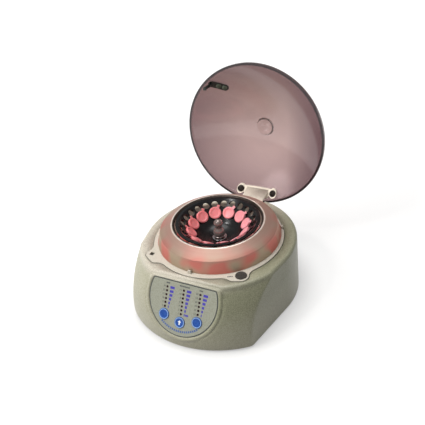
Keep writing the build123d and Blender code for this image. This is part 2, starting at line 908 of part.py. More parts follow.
# Solenoid under the deck and the bolt that it throws over the hook's barb
barb_top_z = hook_tip_z + hook_barb_height
bolt_tip_x = latch_x + latch_hole / 2 + bolt_clear
bolt_z = barb_top_z + bolt_clear
bolt_y = latch_y
solenoid_x = bolt_tip_x + bolt_height + bolt_bar_x + solenoid_gap
solenoid_y = latch_y - solenoid_offset
plunger_z = bolt_z + bolt_height / 2
with BuildPart() as latch_solenoid:
    with Locations((solenoid_x, solenoid_y, deck_under_z)):
        Box(
            solenoid_length, solenoid_width, solenoid_height,
            align=(Align.MIN, Align.CENTER, Align.MAX),
        )
    with BuildSketch(Plane.YZ.offset(solenoid_x)):
        with Locations((solenoid_y, plunger_z)):
            Circle(plunger_r + plunger_gap)
    extrude(amount=solenoid_length - wall, mode=Mode.SUBTRACT)

with BuildPart() as latch_bolt:
    with Locations((bolt_tip_x, bolt_y, bolt_z)):
        Box(
            bolt_height + bolt_bar_x, hook_width, bolt_height,
            align=(Align.MIN, Align.CENTER, Align.MIN),
        )
    with Locations((bolt_tip_x + bolt_height, bolt_y + hook_width / 2, bolt_z)):
        Box(
            bolt_bar_x, solenoid_offset + hook_width / 2 + plunger_r, bolt_height,
            align=(Align.MIN, Align.MAX, Align.MIN),
        )
    with BuildSketch(Plane.YZ.offset(solenoid_x - solenoid_gap - bolt_bar_x)):
        with Locations((solenoid_y, plunger_z)):
            Circle(plunger_r)
    extrude(amount=bolt_bar_x + solenoid_gap + plunger_length)

# Release button, with its switch in a hanger under the deck
with BuildPart() as release_button:
    with BuildSketch(Plane.XY.offset(insert_top_z + button_proud)):
        with Locations((button_x, button_y)):
            Circle(button_r)
    extrude(amount=deck_under_z - insert_top_z - button_proud)
    fillet(release_button.edges().sort_by(Axis.Z)[-1], button_proud / 2)
    with BuildSketch(Plane.XY.offset(deck_under_z - button_gap)):
        with Locations((button_x, button_y)):
            Circle(button_flange_r)
    extrude(amount=-button_flange)
    with BuildSketch(Plane.XY.offset(deck_under_z)):
        with Locations((button_x, button_y)):
            Circle(button_stem_r)
    extrude(amount=button_stem_z - deck_under_z)

switch_top_z = button_stem_z - button_travel - button_switch_gap
with BuildPart() as button_switch:
    with Locations((button_x, button_y, switch_top_z)):
        Box(*button_switch_size, align=(Align.CENTER, Align.CENTER, Align.MAX))

with BuildPart() as switch_hanger:
    hanger_floor_z = switch_top_z - button_switch_size[2]
    hanger_half = button_flange_r + button_gap
    with Locations((button_x, button_y, hanger_floor_z)):
        Box(
            2 * (hanger_half + hanger_thickness), button_switch_size[1], hanger_thickness,
            align=(Align.CENTER, Align.CENTER, Align.MAX),
        )
    for side, near in ((-1, Align.MAX), (1, Align.MIN)):
        with Locations((button_x + side * hanger_half, button_y, hanger_floor_z - hanger_thickness)):
            Box(
                hanger_thickness, button_switch_size[1],
                deck_under_z - hanger_floor_z + hanger_thickness,
                align=(near, Align.CENTER, Align.MIN),
            )

# Power inlet in the rear recess
with BuildPart() as power_inlet:
    with BuildSketch(Plane.XZ.offset(-recess_y)):
        with Locations((inlet_x, inlet_z)):
            Circle(inlet_flange_r)
    extrude(amount=-inlet_flange)
    with BuildSketch(Plane.XZ.offset(-recess_y)):
        with Locations((inlet_x, inlet_z)):
            Circle(inlet_barrel_r)
    extrude(amount=inlet_length)
    with BuildSketch(Plane.XZ.offset(-recess_y - inlet_flange)):
        with Locations((inlet_x, inlet_z)):
            Circle(inlet_bore_r)
            Circle(inlet_pin_r, mode=Mode.SUBTRACT)
    extrude(amount=inlet_bore, mode=Mode.SUBTRACT)

# Rocker switch in the rear recess: its frame, and the rocker on its pivot
with BuildPart() as switch_frame:
    with BuildSketch(Plane.XZ.offset(-recess_y)):
        with Locations((rocker_x, rocker_z)):
            Rectangle(2 * frame_half_x, 2 * frame_half_z)
    extrude(amount=-frame_flange)
    with BuildSketch(Plane.XZ.offset(-recess_y)):
        with Locations((rocker_x, rocker_z)):
            Rectangle(2 * (frame_half_x - frame_wall), 2 * (frame_half_z - frame_wall))
    extrude(amount=frame_depth)
    with BuildSketch(Plane.XZ.offset(-recess_y - frame_flange)):
        with Locations((rocker_x, rocker_z)):
            Rectangle(2 * (rocker_half + rocker_gap), 2 * (frame_half_z - 2 * frame_wall))
    extrude(amount=frame_depth, mode=Mode.SUBTRACT)
    with BuildSketch(Plane.YZ.offset(rocker_x)):
        with Locations((recess_y - rocker_depth, rocker_z)):
            Circle(rocker_pivot_r)
    extrude(amount=frame_half_x - frame_wall, both=True)

with BuildPart() as power_rocker:
    # Its ends are round about the pivot, so they stay clear of the frame as it swings
    rocker_reach = frame_half_z - 2 * frame_wall - rocker_gap
    rocker_front = recess_y + frame_flange
    rocker_back = recess_y - rocker_depth - rocker_r / 2
    rocker_lean = rocker_reach * tan(radians(rocker_swing))
    with BuildSketch(Plane.YZ.offset(rocker_x)):
        with Locations((recess_y - rocker_depth, rocker_z)):
            Circle(rocker_reach)
        with BuildLine():
            Polyline(
                (rocker_front, rocker_z),
                (rocker_front + rocker_lean, rocker_z + rocker_reach),
                (rocker_back, rocker_z + rocker_reach),
                (rocker_back, rocker_z - rocker_reach),
                (rocker_front, rocker_z - rocker_reach),
                close=True,
            )
        make_face(mode=Mode.INTERSECT)
        with Locations((recess_y - rocker_depth, rocker_z)):
            Circle(rocker_pivot_r + rocker_pivot_gap, mode=Mode.SUBTRACT)
    extrude(amount=rocker_half, both=True)

# The lid and what rides on it, drawn closed. The dome is part of a sphere on a short skirt.
cap_rise = lid_rise - lid_skirt
lid_sphere_r = (lid_r**2 + cap_rise**2) / (2 * cap_rise)
lid_centre_z = lid_rim_z + lid_rise - lid_sphere_r
lid_inner_r = lid_sphere_r - lid_wall


def under_dome(thickness):
    """Solid between the lid's inner face and a sphere one thickness further in."""
    with BuildPart() as skin:
        with Locations((0, 0, lid_centre_z)):
            Sphere(lid_inner_r)
            Sphere(lid_inner_r - thickness, mode=Mode.SUBTRACT)
        with Locations((0, 0, lid_rim_z)):
            Box(
                4 * lid_r, 4 * lid_r, 4 * lid_r,
                align=(Align.CENTER, Align.CENTER, Align.MAX), mode=Mode.SUBTRACT,
            )
    return skin.part


with BuildPart() as lid_dome:
    skirt_in_r = lid_r - lid_wall
    skirt_top_z = lid_rim_z + lid_skirt
    skirt_in_z = lid_centre_z + sqrt(lid_inner_r**2 - skirt_in_r**2)
    knob_sphere_r = (knob_r**2 + knob_rise**2) / (2 * knob_rise)
    knob_foot_z = lid_centre_z + sqrt(lid_sphere_r**2 - knob_r**2)
    knob_hollow_r = knob_r - knob_wall
    hollow_foot_z = lid_centre_z + sqrt(lid_inner_r**2 - knob_hollow_r**2)
    arc_turn = (asin(lid_r / lid_sphere_r) + asin(knob_r / lid_sphere_r)) / 2
    with BuildSketch(Plane.XZ) as dome_section:
        with BuildLine():
            Line((lid_r, lid_rim_z), (lid_r, skirt_top_z))
            ThreePointArc(
                (lid_r, skirt_top_z),
                (lid_sphere_r * sin(arc_turn), lid_centre_z + lid_sphere_r * cos(arc_turn)),
                (knob_r, knob_foot_z),
            )
            RadiusArc((0, knob_foot_z + knob_rise), (knob_r, knob_foot_z), knob_sphere_r)
            Line((0, knob_foot_z + knob_rise), (0, knob_foot_z + knob_rise - knob_wall))
            RadiusArc(
                (0, knob_foot_z + knob_rise - knob_wall),
                (knob_hollow_r, hollow_foot_z),
                knob_sphere_r - knob_wall,
            )
            ThreePointArc(
                (knob_hollow_r, hollow_foot_z),
                (lid_inner_r * sin(arc_turn), lid_centre_z + lid_inner_r * cos(arc_turn)),
                (skirt_in_r, skirt_in_z),
            )
            Line((skirt_in_r, skirt_in_z), (skirt_in_r, lid_rim_z))
            Line((skirt_in_r, lid_rim_z), (lid_r, lid_rim_z))
        make_face()
        corners = dome_section.vertices()
        fillet(corners.sort_by_distance((lid_r, skirt_top_z))[0], lid_knuckle)
        fillet(
            dome_section.vertices().sort_by_distance((skirt_in_r, skirt_in_z))[0],
            lid_knuckle - lid_wall,
        )
    revolve(axis=Axis.Z)

# Hinge leaf: a pad that follows the dome, and an arm down to the pin
with BuildPart() as hinge_leaf:
    with BuildSketch():
        with Locations((0, leaf_front_y)):
            Rectangle(2 * leaf_half, leaf_rear_y - leaf_front_y, align=(Align.CENTER, Align.MIN))
        with Locations((-leaf_screw_x, leaf_screw_y), (leaf_screw_x, leaf_screw_y)):
            Circle(leaf_ear_r)
        with Locations((0, leaf_screw_y)):
            Rectangle(2 * leaf_screw_x, 2 * (leaf_screw_y - leaf_front_y))
    extrude(amount=2 * lid_r)
    add(under_dome(leaf_thickness), mode=Mode.INTERSECT)
    with BuildPart(mode=Mode.PRIVATE) as arm:
        with BuildSketch(Plane.YZ):
            with BuildLine():
                arm_sphere_r = lid_inner_r - leaf_thickness / 2
                arm_top_z = lid_centre_z + sqrt(arm_sphere_r**2 - arm_top_y**2)
                Polyline(
                    (arm_top_y, arm_top_z),
                    (arm_top_y - arm_thickness, arm_top_z),
                    (hinge_y - barrel_r, hinge_z),
                    (hinge_y - barrel_r + arm_thickness, hinge_z),
                    close=True,
                )
            make_face()
        extrude(amount=arm_half, both=True)
        with BuildSketch(Plane.YZ):
            with Locations((hinge_y, hinge_z)):
                Circle(barrel_r)
        extrude(amount=barrel_half, both=True)
        with Locations((0, 0, lid_centre_z)):
            Sphere(lid_inner_r - leaf_thickness / 2, mode=Mode.INTERSECT)
    add(arm.part)
    with BuildSketch(Plane.YZ):
        with Locations((hinge_y, hinge_z)):
            Circle(pin_r + pin_gap)
    extrude(amount=pin_half, both=True, mode=Mode.SUBTRACT)


def dome_normal(x, y, radius):
    """Plane on a sphere about the dome's centre, over a point of the plan, facing inwards."""
    z = sqrt(radius**2 - x**2 - y**2)
    return Plane(origin=(x, y, lid_centre_z + z), z_dir=(-x, -y, -z))


with BuildPart() as leaf_screws:
    for side in (-1, 1):
        seat_r = sqrt((lid_inner_r - leaf_thickness) ** 2 - leaf_screw_r**2)
        with BuildSketch(dome_normal(side * leaf_screw_x, leaf_screw_y, seat_r)):
            Circle(leaf_screw_r)
        extrude(amount=leaf_screw_height)

# Hook: a plate under the dome with a stem that reaches down through the deck
hook_along = (cos(radians(hook_turn)), sin(radians(hook_turn)))
hook_screw_places = [
    (latch_x + run * hook_along[0], latch_y + run * hook_along[1]) for run in hook_screw_runs
]
with BuildPart() as lid_hook:
    with BuildSketch():
        plate_run = hook_screw_runs[-1] / 2
        with Locations((latch_x + plate_run * hook_along[0], latch_y + plate_run * hook_along[1])):
            SlotOverall(2 * (plate_run + hook_plate_half), 2 * hook_plate_half, rotation=hook_turn)
    extrude(amount=2 * lid_r)
    add(under_dome(hook_plate_thickness), mode=Mode.INTERSECT)
    with BuildPart(mode=Mode.PRIVATE) as stem:
        stem_left = latch_x - hook_width / 2
        with BuildSketch(Plane.XZ.offset(-latch_y)):
            with BuildLine():
                Polyline(
                    (stem_left, deck_z + lid_rise),
                    (stem_left, hook_tip_z),
                    (stem_left + hook_stem, hook_tip_z),
                    (stem_left + hook_stem + hook_barb, barb_top_z - hook_barb_height / 3),
                    (stem_left + hook_stem + hook_barb, barb_top_z),
                    (stem_left + hook_stem, barb_top_z),
                    (stem_left + hook_stem, deck_z + lid_rise),
                    close=True,
                )
            make_face()
        extrude(amount=hook_width / 2, both=True)
        with Locations((0, 0, lid_centre_z)):
            Sphere(lid_inner_r - hook_plate_thickness / 2, mode=Mode.INTERSECT)
    add(stem.part)

with BuildPart() as hook_screws:
    for place in hook_screw_places:
        seat_r = sqrt((lid_inner_r - hook_plate_thickness) ** 2 - hook_screw_r**2)
        with BuildSketch(dome_normal(*place, seat_r)):
            Circle(hook_screw_r)
        extrude(amount=hook_screw_height)

hinge_line = Axis((0, hinge_y, hinge_z), (1, 0, 0))
fixed_pieces = {
    "housing": housing,
    "deck_insert": deck_insert,
    "guard_ring": guard_ring,
    "ring_clips": ring_clips,
    "rotor_chamber": rotor_chamber,
    "base_plate": base_plate,
    "base_screws": base_screws,
    "rubber_feet": rubber_feet,
    "control_panel": control_panel,
    "control_board": control_board,
    "board_standoffs": board_standoffs,
    "key_switches": key_switches,
    "left_lamps": left_lamps,
    "middle_lamps": middle_lamps,
    "right_lamps": right_lamps,
    "time_key": time_key,
    "start_key": start_key,
    "speed_key": speed_key,
    "motor_body": motor_body,
    "motor_plate": motor_plate,
    "motor_screws": motor_screws,
    "motor_mounts": motor_mounts,
    "rotor": rotor,
    "sample_tubes": sample_tubes,
    "drive_shaft": drive_shaft,
    "nut_washer": nut_washer,
    "rotor_nut": rotor_nut,
    "hinge_bracket": hinge_bracket,
    "hinge_pin": hinge_pin,
    "latch_solenoid": latch_solenoid,
    "latch_bolt": latch_bolt,
    "release_button": release_button,
    "button_switch": button_switch,
    "switch_hanger": switch_hanger,
    "power_inlet": power_inlet,
    "switch_frame": switch_frame,
    "power_rocker": power_rocker,
}
lid_pieces = {
    "lid_dome": lid_dome,
    "hinge_leaf": hinge_leaf,
    "leaf_screws": leaf_screws,
    "lid_hook": lid_hook,
    "hook_screws": hook_screws,
}

for name, piece in fixed_pieces.items():
    piece.part.label = name
    export_step(piece.part, f"parts/{name}.step")

for name, piece in lid_pieces.items():
    opened = piece.part.rotate(hinge_line, -lid_open)
    opened.label = name
    export_step(opened, f"parts/{name}.step")
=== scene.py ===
import json
import math

import bmesh
import bpy
from mathutils import Matrix, Vector

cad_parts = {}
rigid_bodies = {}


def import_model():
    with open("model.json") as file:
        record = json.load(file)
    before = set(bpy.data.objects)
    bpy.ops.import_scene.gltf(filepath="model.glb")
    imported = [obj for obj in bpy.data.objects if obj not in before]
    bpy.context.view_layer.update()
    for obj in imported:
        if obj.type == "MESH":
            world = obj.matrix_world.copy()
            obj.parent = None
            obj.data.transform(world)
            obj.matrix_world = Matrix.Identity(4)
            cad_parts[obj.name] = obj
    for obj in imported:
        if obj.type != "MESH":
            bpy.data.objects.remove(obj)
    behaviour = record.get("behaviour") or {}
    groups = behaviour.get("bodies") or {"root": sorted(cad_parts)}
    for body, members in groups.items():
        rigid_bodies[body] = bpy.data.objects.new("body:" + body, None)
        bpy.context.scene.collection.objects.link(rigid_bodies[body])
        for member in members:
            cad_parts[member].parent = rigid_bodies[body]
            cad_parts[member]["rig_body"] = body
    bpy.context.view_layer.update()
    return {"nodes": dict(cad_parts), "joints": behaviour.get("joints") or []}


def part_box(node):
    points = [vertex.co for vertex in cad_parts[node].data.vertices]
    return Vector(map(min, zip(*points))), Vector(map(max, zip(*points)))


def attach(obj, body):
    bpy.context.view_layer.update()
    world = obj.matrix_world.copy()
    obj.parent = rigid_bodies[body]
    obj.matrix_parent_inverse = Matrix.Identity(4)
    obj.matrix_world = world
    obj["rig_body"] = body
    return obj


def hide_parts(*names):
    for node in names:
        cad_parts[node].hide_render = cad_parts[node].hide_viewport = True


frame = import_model()

# Base plate
# A flat tray that closes the housing from below, moulded in dark ABS.
# It is held by four screws that go up into the housing's bosses.
MM = 0.001
weld_gap = 0.002 * MM


def hex_colour(code):
    """Linear red, green, blue and alpha of an sRGB hex colour."""
    channels = [int(code[place:place + 2], 16) / 255 for place in (1, 3, 5)]
    linear = [c / 12.92 if c <= 0.04045 else ((c + 0.055) / 1.055) ** 2.4 for c in channels]
    return (*linear, 1.0)


def add_node(tree, kind, inputs=None, **settings):
    """Add one node with its settings, and give each input a value or a link."""
    made = tree.nodes.new(kind)
    for key, value in settings.items():
        setattr(made, key, value)
    for key, value in (inputs or {}).items():
        if isinstance(value, bpy.types.NodeSocket):
            tree.links.new(value, made.inputs[key])
        else:
            made.inputs[key].default_value = value
    return made


def shader_inputs(material):
    """Inputs of the material's one Principled shader."""
    return material.node_tree.nodes["Principled BSDF"].inputs


def finish(name, colour, surface):
    """A material with one Principled shader, its colour and its surface values."""
    material = bpy.data.materials.new(name)
    material.use_nodes = True
    values = shader_inputs(material)
    values["Base Color"].default_value = hex_colour(colour)
    for key, value in surface.items():
        values[key].default_value = value
    return material


def object_place(tree):
    """Object coordinates, in metres."""
    return add_node(tree, "ShaderNodeTexCoord").outputs["Object"]


def axes(tree):
    """The three object coordinates apart, in metres."""
    return add_node(tree, "ShaderNodeSeparateXYZ", {0: object_place(tree)}).outputs


def stretched(tree, scale):
    """Object coordinates that draw a pattern out into lines along an axis with a low scale."""
    return add_node(tree, "ShaderNodeMapping", {
        "Vector": object_place(tree), "Scale": scale,
    }).outputs["Vector"]


def noise(tree, size_mm, detail=2.0, place=None):
    """A noise pattern whose blobs are about this many millimetres across."""
    return add_node(tree, "ShaderNodeTexNoise", {
        "Vector": place or object_place(tree),
        "Scale": 1 / (size_mm * MM),
        "Detail": detail,
    }).outputs["Fac"]


def roughen(material, height, depth_mm):
    """Bump of a depth in millimetres from a pattern of 0 to 1."""
    tree = material.node_tree
    bump = add_node(tree, "ShaderNodeBump", {
        "Height": height, "Distance": depth_mm * MM, "Strength": 1.0,
    })
    tree.links.new(bump.outputs["Normal"], shader_inputs(material)["Normal"])


def tint(material, pattern, low, high, start=0.35, end=0.65):
    """Run the base colour from low to high where the pattern goes from start to end."""
    tree = material.node_tree
    spread = add_node(tree, "ShaderNodeMapRange", {
        "Value": pattern, "From Min": start, "From Max": end,
    }).outputs["Result"]
    mixed = add_node(tree, "ShaderNodeMix", {
        "Factor": spread, "A": hex_colour(low), "B": hex_colour(high),
    }, data_type="RGBA")
    tree.links.new(mixed.outputs["Result"], shader_inputs(material)["Base Color"])


def grained(name, colour, surface, shades, wander, grain=None, depth=0.0, lines=None):
    """A finish that wanders between two shades, with or without a grain, in millimetres."""
    material = finish(name, colour, surface)
    tree = material.node_tree
    tint(material, noise(tree, wander), *shades)
    if grain:
        place = stretched(tree, lines) if lines else None
        roughen(material, noise(tree, grain, place=place), depth)
    return material


def in_scene(name, data):
    """A new object with this data, in the scene."""
    piece = bpy.data.objects.new(name, data)
    bpy.context.scene.collection.objects.link(piece)
    return piece


def applied(piece):
    """The mesh of a piece as its modifiers leave it."""
    evaluated = piece.evaluated_get(bpy.context.evaluated_depsgraph_get())
    return bpy.data.meshes.new_from_object(evaluated)


def dress(node, material):
    """Give a CAD piece its finish."""
    slots = frame["nodes"][node].data.materials
    slots.clear()
    slots.append(material)


def coat(piece, material):
    """Give a piece one material."""
    piece.data.materials.clear()
    piece.data.materials.append(material)
    return piece


def skinned(node, name, material, angle=32):
    """A welded, smooth copy of a CAD piece with its finish, which then stands for it."""
    source = frame["nodes"][node]
    mesh = source.data.copy()
    mesh.name = name
    form = bmesh.new()
    form.from_mesh(mesh)
    bmesh.ops.remove_doubles(form, verts=form.verts, dist=weld_gap)
    form.to_mesh(mesh)
    form.free()
    mesh.shade_smooth()
    mesh.set_sharp_from_angle(angle=math.radians(angle))
    piece = in_scene(name, mesh)
    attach(piece, source["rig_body"])
    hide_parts(node)
    return coat(piece, material)


# Moulded ABS with a fine spark-eroded grain, drawn coarser than real so that it shows
dark_abs = grained(
    "dark moulded ABS", "#3a3a36", {"Roughness": 0.6},
    ("#343430", "#403f3a"), 4.0, 0.6, 0.05,
)
skinned("base_plate", "base_tray", dark_abs)

# Rubber feet
# Four turned feet of black rubber, with a rounded edge and a hollow in the middle
# that grips the bench. A stud on each is pushed through the base plate.


def rounded(points, radius, arc_steps=4):
    """A closed profile with each corner cut by a small curve of about this radius."""
    soft = []
    count = len(points)
    for step, corner in enumerate(points):
        here = Vector(corner)
        before = Vector(points[step - 1]) - here
        after = Vector(points[(step + 1) % count]) - here
        if corner[0] == 0:
            soft.append(here)
            continue
        cut = min(radius, before.length * 0.45, after.length * 0.45)
        start = here + before.normalized() * cut
        end = here + after.normalized() * cut
        for turn in range(arc_steps + 1):
            t = turn / arc_steps
            soft.append(start.lerp(here, t).lerp(here.lerp(end, t), t))
    return soft


def turned(profile, steps=96):
    """Mesh form of a profile of radii and heights in millimetres, turned about Z."""
    form = bmesh.new()
    rings = []
    for r, z in profile:
        if r < 1e-6:
            rings.append([form.verts.new((0, 0, z * MM))])
            continue
        rings.append([
            form.verts.new((
                r * MM * math.cos(2 * math.pi * step / steps),
                r * MM * math.sin(2 * math.pi * step / steps),
                z * MM,
            ))
            for step in range(steps)
        ])
    for place, lower in enumerate(rings):
        upper = rings[(place + 1) % len(rings)]
        if len(lower) == 1 and len(upper) == 1:
            continue
        for step in range(steps):
            beside = (step + 1) % steps
            corners = [lower[step % len(lower)], lower[beside % len(lower)]]
            corners += [upper[beside % len(upper)], upper[step % len(upper)]]
            form.faces.new(list(dict.fromkeys(corners)))
    bmesh.ops.recalc_face_normals(form, faces=form.faces)
    return form


def piece_from(form, name, angle=35):
    """A piece from a mesh form, smooth except at its edges."""
    mesh = bpy.data.meshes.new(name)
    form.to_mesh(mesh)
    form.free()
    mesh.shade_smooth()
    mesh.set_sharp_from_angle(angle=math.radians(angle))
    return in_scene(name, mesh)


def copies_tree():
    """Geometry Nodes tree: a piece at each point, turned about Z a step further each time."""
    tree = bpy.data.node_groups.new("piece at points", "GeometryNodeTree")
    sockets = tree.interface
    sockets.new_socket("Points", in_out="INPUT", socket_type="NodeSocketGeometry")
    sockets.new_socket("Piece", in_out="INPUT", socket_type="NodeSocketObject")
    sockets.new_socket("First Turn", in_out="INPUT", socket_type="NodeSocketFloat")
    sockets.new_socket("Turn Step", in_out="INPUT", socket_type="NodeSocketFloat")
    sockets.new_socket("Finish", in_out="INPUT", socket_type="NodeSocketMaterial")
    sockets.new_socket("Pieces", in_out="OUTPUT", socket_type="NodeSocketGeometry")
    given = add_node(tree, "NodeGroupInput").outputs
    index = add_node(tree, "GeometryNodeInputIndex").outputs["Index"]
    turned_on = add_node(tree, "ShaderNodeMath", {
        0: index, 1: given["Turn Step"], 2: given["First Turn"],
    }, operation="MULTIPLY_ADD").outputs["Value"]
    facing = add_node(tree, "FunctionNodeAxisAngleToRotation", {
        "Axis": (0, 0, 1), "Angle": turned_on,
    }).outputs["Rotation"]
    source = add_node(tree, "GeometryNodeObjectInfo", {"Object": given["Piece"]})
    placed = add_node(tree, "GeometryNodeInstanceOnPoints", {
        "Points": given["Points"],
        "Instance": source.outputs["Geometry"],
        "Rotation": facing,
    }).outputs["Instances"]
    solid = add_node(tree, "GeometryNodeRealizeInstances", {"Geometry": placed})
    painted = add_node(tree, "GeometryNodeSetMaterial", {
        "Geometry": solid.outputs["Geometry"], "Material": given["Finish"],
    })
    add_node(tree, "NodeGroupOutput", {"Pieces": painted.outputs["Geometry"]})
    return tree


copies_at_points = copies_tree()


def copies(name, piece, points, material, first_turn=0.0, turn_step=0.0):
    """One plain mesh of a piece repeated at points in millimetres; the piece itself goes."""
    mesh = bpy.data.meshes.new(name + " points")
    mesh.from_pydata([Vector(point) * MM for point in points], [], [])
    carrier = in_scene(name + " points", mesh)
    repeat = carrier.modifiers.new("repeat", "NODES")
    repeat.node_group = copies_at_points
    values = {
        "Piece": piece,
        "First Turn": math.radians(first_turn),
        "Turn Step": math.radians(turn_step),
        "Finish": material,
    }
    for socket in copies_at_points.interface.items_tree:
        if socket.name in values:
            repeat[socket.identifier] = values[socket.name]
    made = in_scene(name, applied(carrier))
    made.data.name = name
    bpy.data.objects.remove(carrier)
    bpy.data.objects.remove(piece)
    return made


def lumps(node):
    """Boxes of the separate solids of a CAD piece, as lowest and highest corners."""
    form = bmesh.new()
    form.from_mesh(frame["nodes"][node].data)
    bmesh.ops.remove_doubles(form, verts=form.verts, dist=weld_gap)
    unseen = set(form.verts)
    found = []
    while unseen:
        edge_of = [unseen.pop()]
        low = edge_of[0].co.copy()
        high = low.copy()
        while edge_of:
            here = edge_of.pop()
            low = Vector(map(min, low, here.co))
            high = Vector(map(max, high, here.co))
            for edge in here.link_edges:
                beyond = edge.other_vert(here)
                if beyond in unseen:
                    unseen.remove(beyond)
                    edge_of.append(beyond)
        found.append((low, high))
    form.free()
    return sorted(found, key=lambda corners: tuple(corners[0]))


rubber = grained(
    "black natural rubber", "#1b1b1a", {"Roughness": 0.8},
    ("#151514", "#232321"), 3.0, 0.8, 0.06,
)
foot_r = 8.0
foot_height = 2.0
stud_r = 2.5
stud_top = 5.0
foot_profile = [(0, 0.5), (foot_r - 3, 0.5), (foot_r - 2.4, 0)]
foot_profile += [(foot_r, 0), (foot_r, foot_height), (stud_r, foot_height)]
foot_profile += [(stud_r, stud_top), (0, stud_top)]
foot = piece_from(turned(rounded(foot_profile, 0.5), 48), "foot")
foot_points = [
    ((low.x + high.x) / 2 / MM, (low.y + high.y) / 2 / MM, 0)
    for low, high in lumps("rubber_feet")
]
bench_feet = copies("bench_feet", foot, foot_points, rubber)
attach(bench_feet, "base")
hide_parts("rubber_feet")

# Base screws
# Four plated steel screws with sunk round heads, driven up through the base plate.
# The cross recess of each head is cut with a punch while it is cold.


def screw_head(r, height, recess, name):
    """A low domed head, its flat foot at z 0, with a cross cut into its top."""
    dome = [(0, 0), (r, 0), (r, height * 0.35), (r * 0.86, height * 0.75)]
    dome += [(r * 0.55, height * 0.95), (0, height)]
    head = piece_from(turned(rounded(dome, r * 0.12), 40), name)
    cross = bmesh.new()
    for half_x, half_y in ((recess, recess / 4), (recess / 4, recess)):
        bar = bmesh.ops.create_cube(cross, size=1)["verts"]
        size = (half_x * 2 * MM, half_y * 2 * MM, height * MM)
        bmesh.ops.scale(cross, verts=bar, vec=size)
        bmesh.ops.translate(cross, verts=bar, vec=(0, 0, height * MM))
    cutter = piece_from(cross, "cross")
    cut = head.modifiers.new("cross", "BOOLEAN")
    cut.object = cutter
    cut.operation = "DIFFERENCE"
    cut.solver = "EXACT"
    cut.use_self = True
    mesh = applied(head)
    head.modifiers.remove(cut)
    head.data = mesh
    mesh.shade_smooth()
    mesh.set_sharp_from_angle(angle=math.radians(35))
    bpy.data.objects.remove(cutter)
    return head


plated_steel = grained(
    "zinc plated steel", "#a7a8a6", {"Metallic": 1.0, "Roughness": 0.35},
    ("#9c9d9a", "#b3b3b0"), 2.5, 0.5, 0.01,
)
dress("base_screws", plated_steel)

# Motor mounts
# Three waisted rubber buffers that stand on the base plate and carry the motor,
# so that the rotor's shake doesn't reach the housing.
skinned("motor_mounts", "motor_buffers", rubber)

# Motor
# A steel can drawn from sheet, with its bearing nose up through the chamber's floor.
# Its plate is pressed aluminium, held on by three screws.
drawn_steel = grained(
    "drawn steel", "#8a8b8c", {"Metallic": 1.0, "Roughness": 0.32},
    ("#7f8081", "#969798"), 6.0, 0.4, 0.015, lines=(1, 1, 0.05),
)
skinned("motor_body", "motor_can", drawn_steel)

sheet_aluminium = grained(
    "rolled aluminium sheet", "#c4c5c6", {"Metallic": 1.0, "Roughness": 0.38},
    ("#b9babb", "#cecfd0"), 5.0, 0.3, 0.01, lines=(0.05, 1, 1),
)
skinned("motor_plate", "motor_plate_disc", sheet_aluminium)
skinned("motor_screws", "motor_plate_screws", plated_steel)

# Drive shaft
# A ground steel rod of 6 mm that carries the rotor on its upper end.
# Grinding leaves fine rings round it.
ground_steel = finish("ground steel", "#b5b6b8", {"Metallic": 1.0, "Roughness": 0.22})
ground = ground_steel.node_tree
ring_place = stretched(ground, (0.05, 0.05, 1))
roughen(ground_steel, noise(ground, 0.2, place=ring_place), 0.008)
tint(ground_steel, noise(ground, 1.5, place=ring_place), "#a9aaac", "#c2c3c5")
skinned("drive_shaft", "motor_shaft", ground_steel)

# Housing
# One moulding in cream grey-green ABS with a fine hammered paint, bowed in front.
# The paint's grain scatters small light and dark dots over it.
hammered = finish("hammered cream paint on ABS", "#b0ab97", {
    "Roughness": 0.42, "IOR": 1.48, "Coat Weight": 0.25, "Coat Roughness": 0.3,
})
speckle = hammered.node_tree
# Dots of about 0.9 mm, a little coarser than real so that they show
dots = add_node(speckle, "ShaderNodeMapRange", {
    "Value": noise(speckle, 0.9, detail=3.0), "From Min": 0.36, "From Max": 0.64,
}).outputs["Result"]
spot = axes(speckle)
# The deck is painted a warmer, lighter cream, most of all on the left, as painted light.
# The sides are painted darker and greener to the right and higher up, as painted shade away
# from the light that the table throws back.
up_high, deck_light_to_left, shade_to_right, shade_off_table = (
    add_node(speckle, "ShaderNodeMapRange", {
        "Value": spot[axis], "From Min": low * MM, "From Max": high * MM, "To Min": least,
    }).outputs["Result"]
    for axis, low, high, least in (
        ("Z", 57, 64, 0.0), ("X", 65, -10, 0.1), ("X", -15, 38, 0.0), ("Z", 8, 44, 0.0),
    )
)
painted_deck_light, painted_side_shade = (
    add_node(speckle, "ShaderNodeMath", {0: one, 1: other}, operation="MULTIPLY").outputs["Value"]
    for one, other in ((up_high, deck_light_to_left), (shade_to_right, shade_off_table))
)
left_side, shaded_right_side, deck = (
    add_node(speckle, "ShaderNodeMix", {
        "Factor": dots, "A": hex_colour(low), "B": hex_colour(high),
    }, data_type="RGBA").outputs["Result"]
    for low, high in (("#96937d", "#b1ae99"), ("#7b7b62", "#95957c"), ("#b3ab9b", "#cfc8b9"))
)
# Painted shade on the right sides, then painted light on the deck, mixed into the paint's colour
sides = add_node(speckle, "ShaderNodeMix", {
    "Factor": painted_side_shade, "A": left_side, "B": shaded_right_side,
}, data_type="RGBA").outputs["Result"]
paint = add_node(speckle, "ShaderNodeMix", {
    "Factor": painted_deck_light, "A": sides, "B": deck,
}, data_type="RGBA").outputs["Result"]
speckle.links.new(paint, shader_inputs(hammered)["Base Color"])
roughen(hammered, noise(speckle, 1.1, detail=3.0), 0.09)
housing = skinned("housing", "moulded_housing", hammered)
# The groove round the deck insert is painted dark as painted shade, so it shows as a dark seam
painted_groove_shade = grained(
    "unlit groove in cream ABS", "#2b2a25", {"Roughness": 0.8}, ("#252420", "#34332d"), 2.0,
)
housing.data.materials.append(painted_groove_shade)
deck_z = 64.5
groove_depth = 1.2
groove_low = (deck_z - groove_depth - 0.1) * MM
groove_high = (deck_z - 0.1) * MM
for face in housing.data.polygons:
    level = face.center.z
    upright = abs(face.normal.z) < 0.01
    if groove_low < level < groove_high and (upright or face.normal.z > 0.99):
        face.material_index = 1

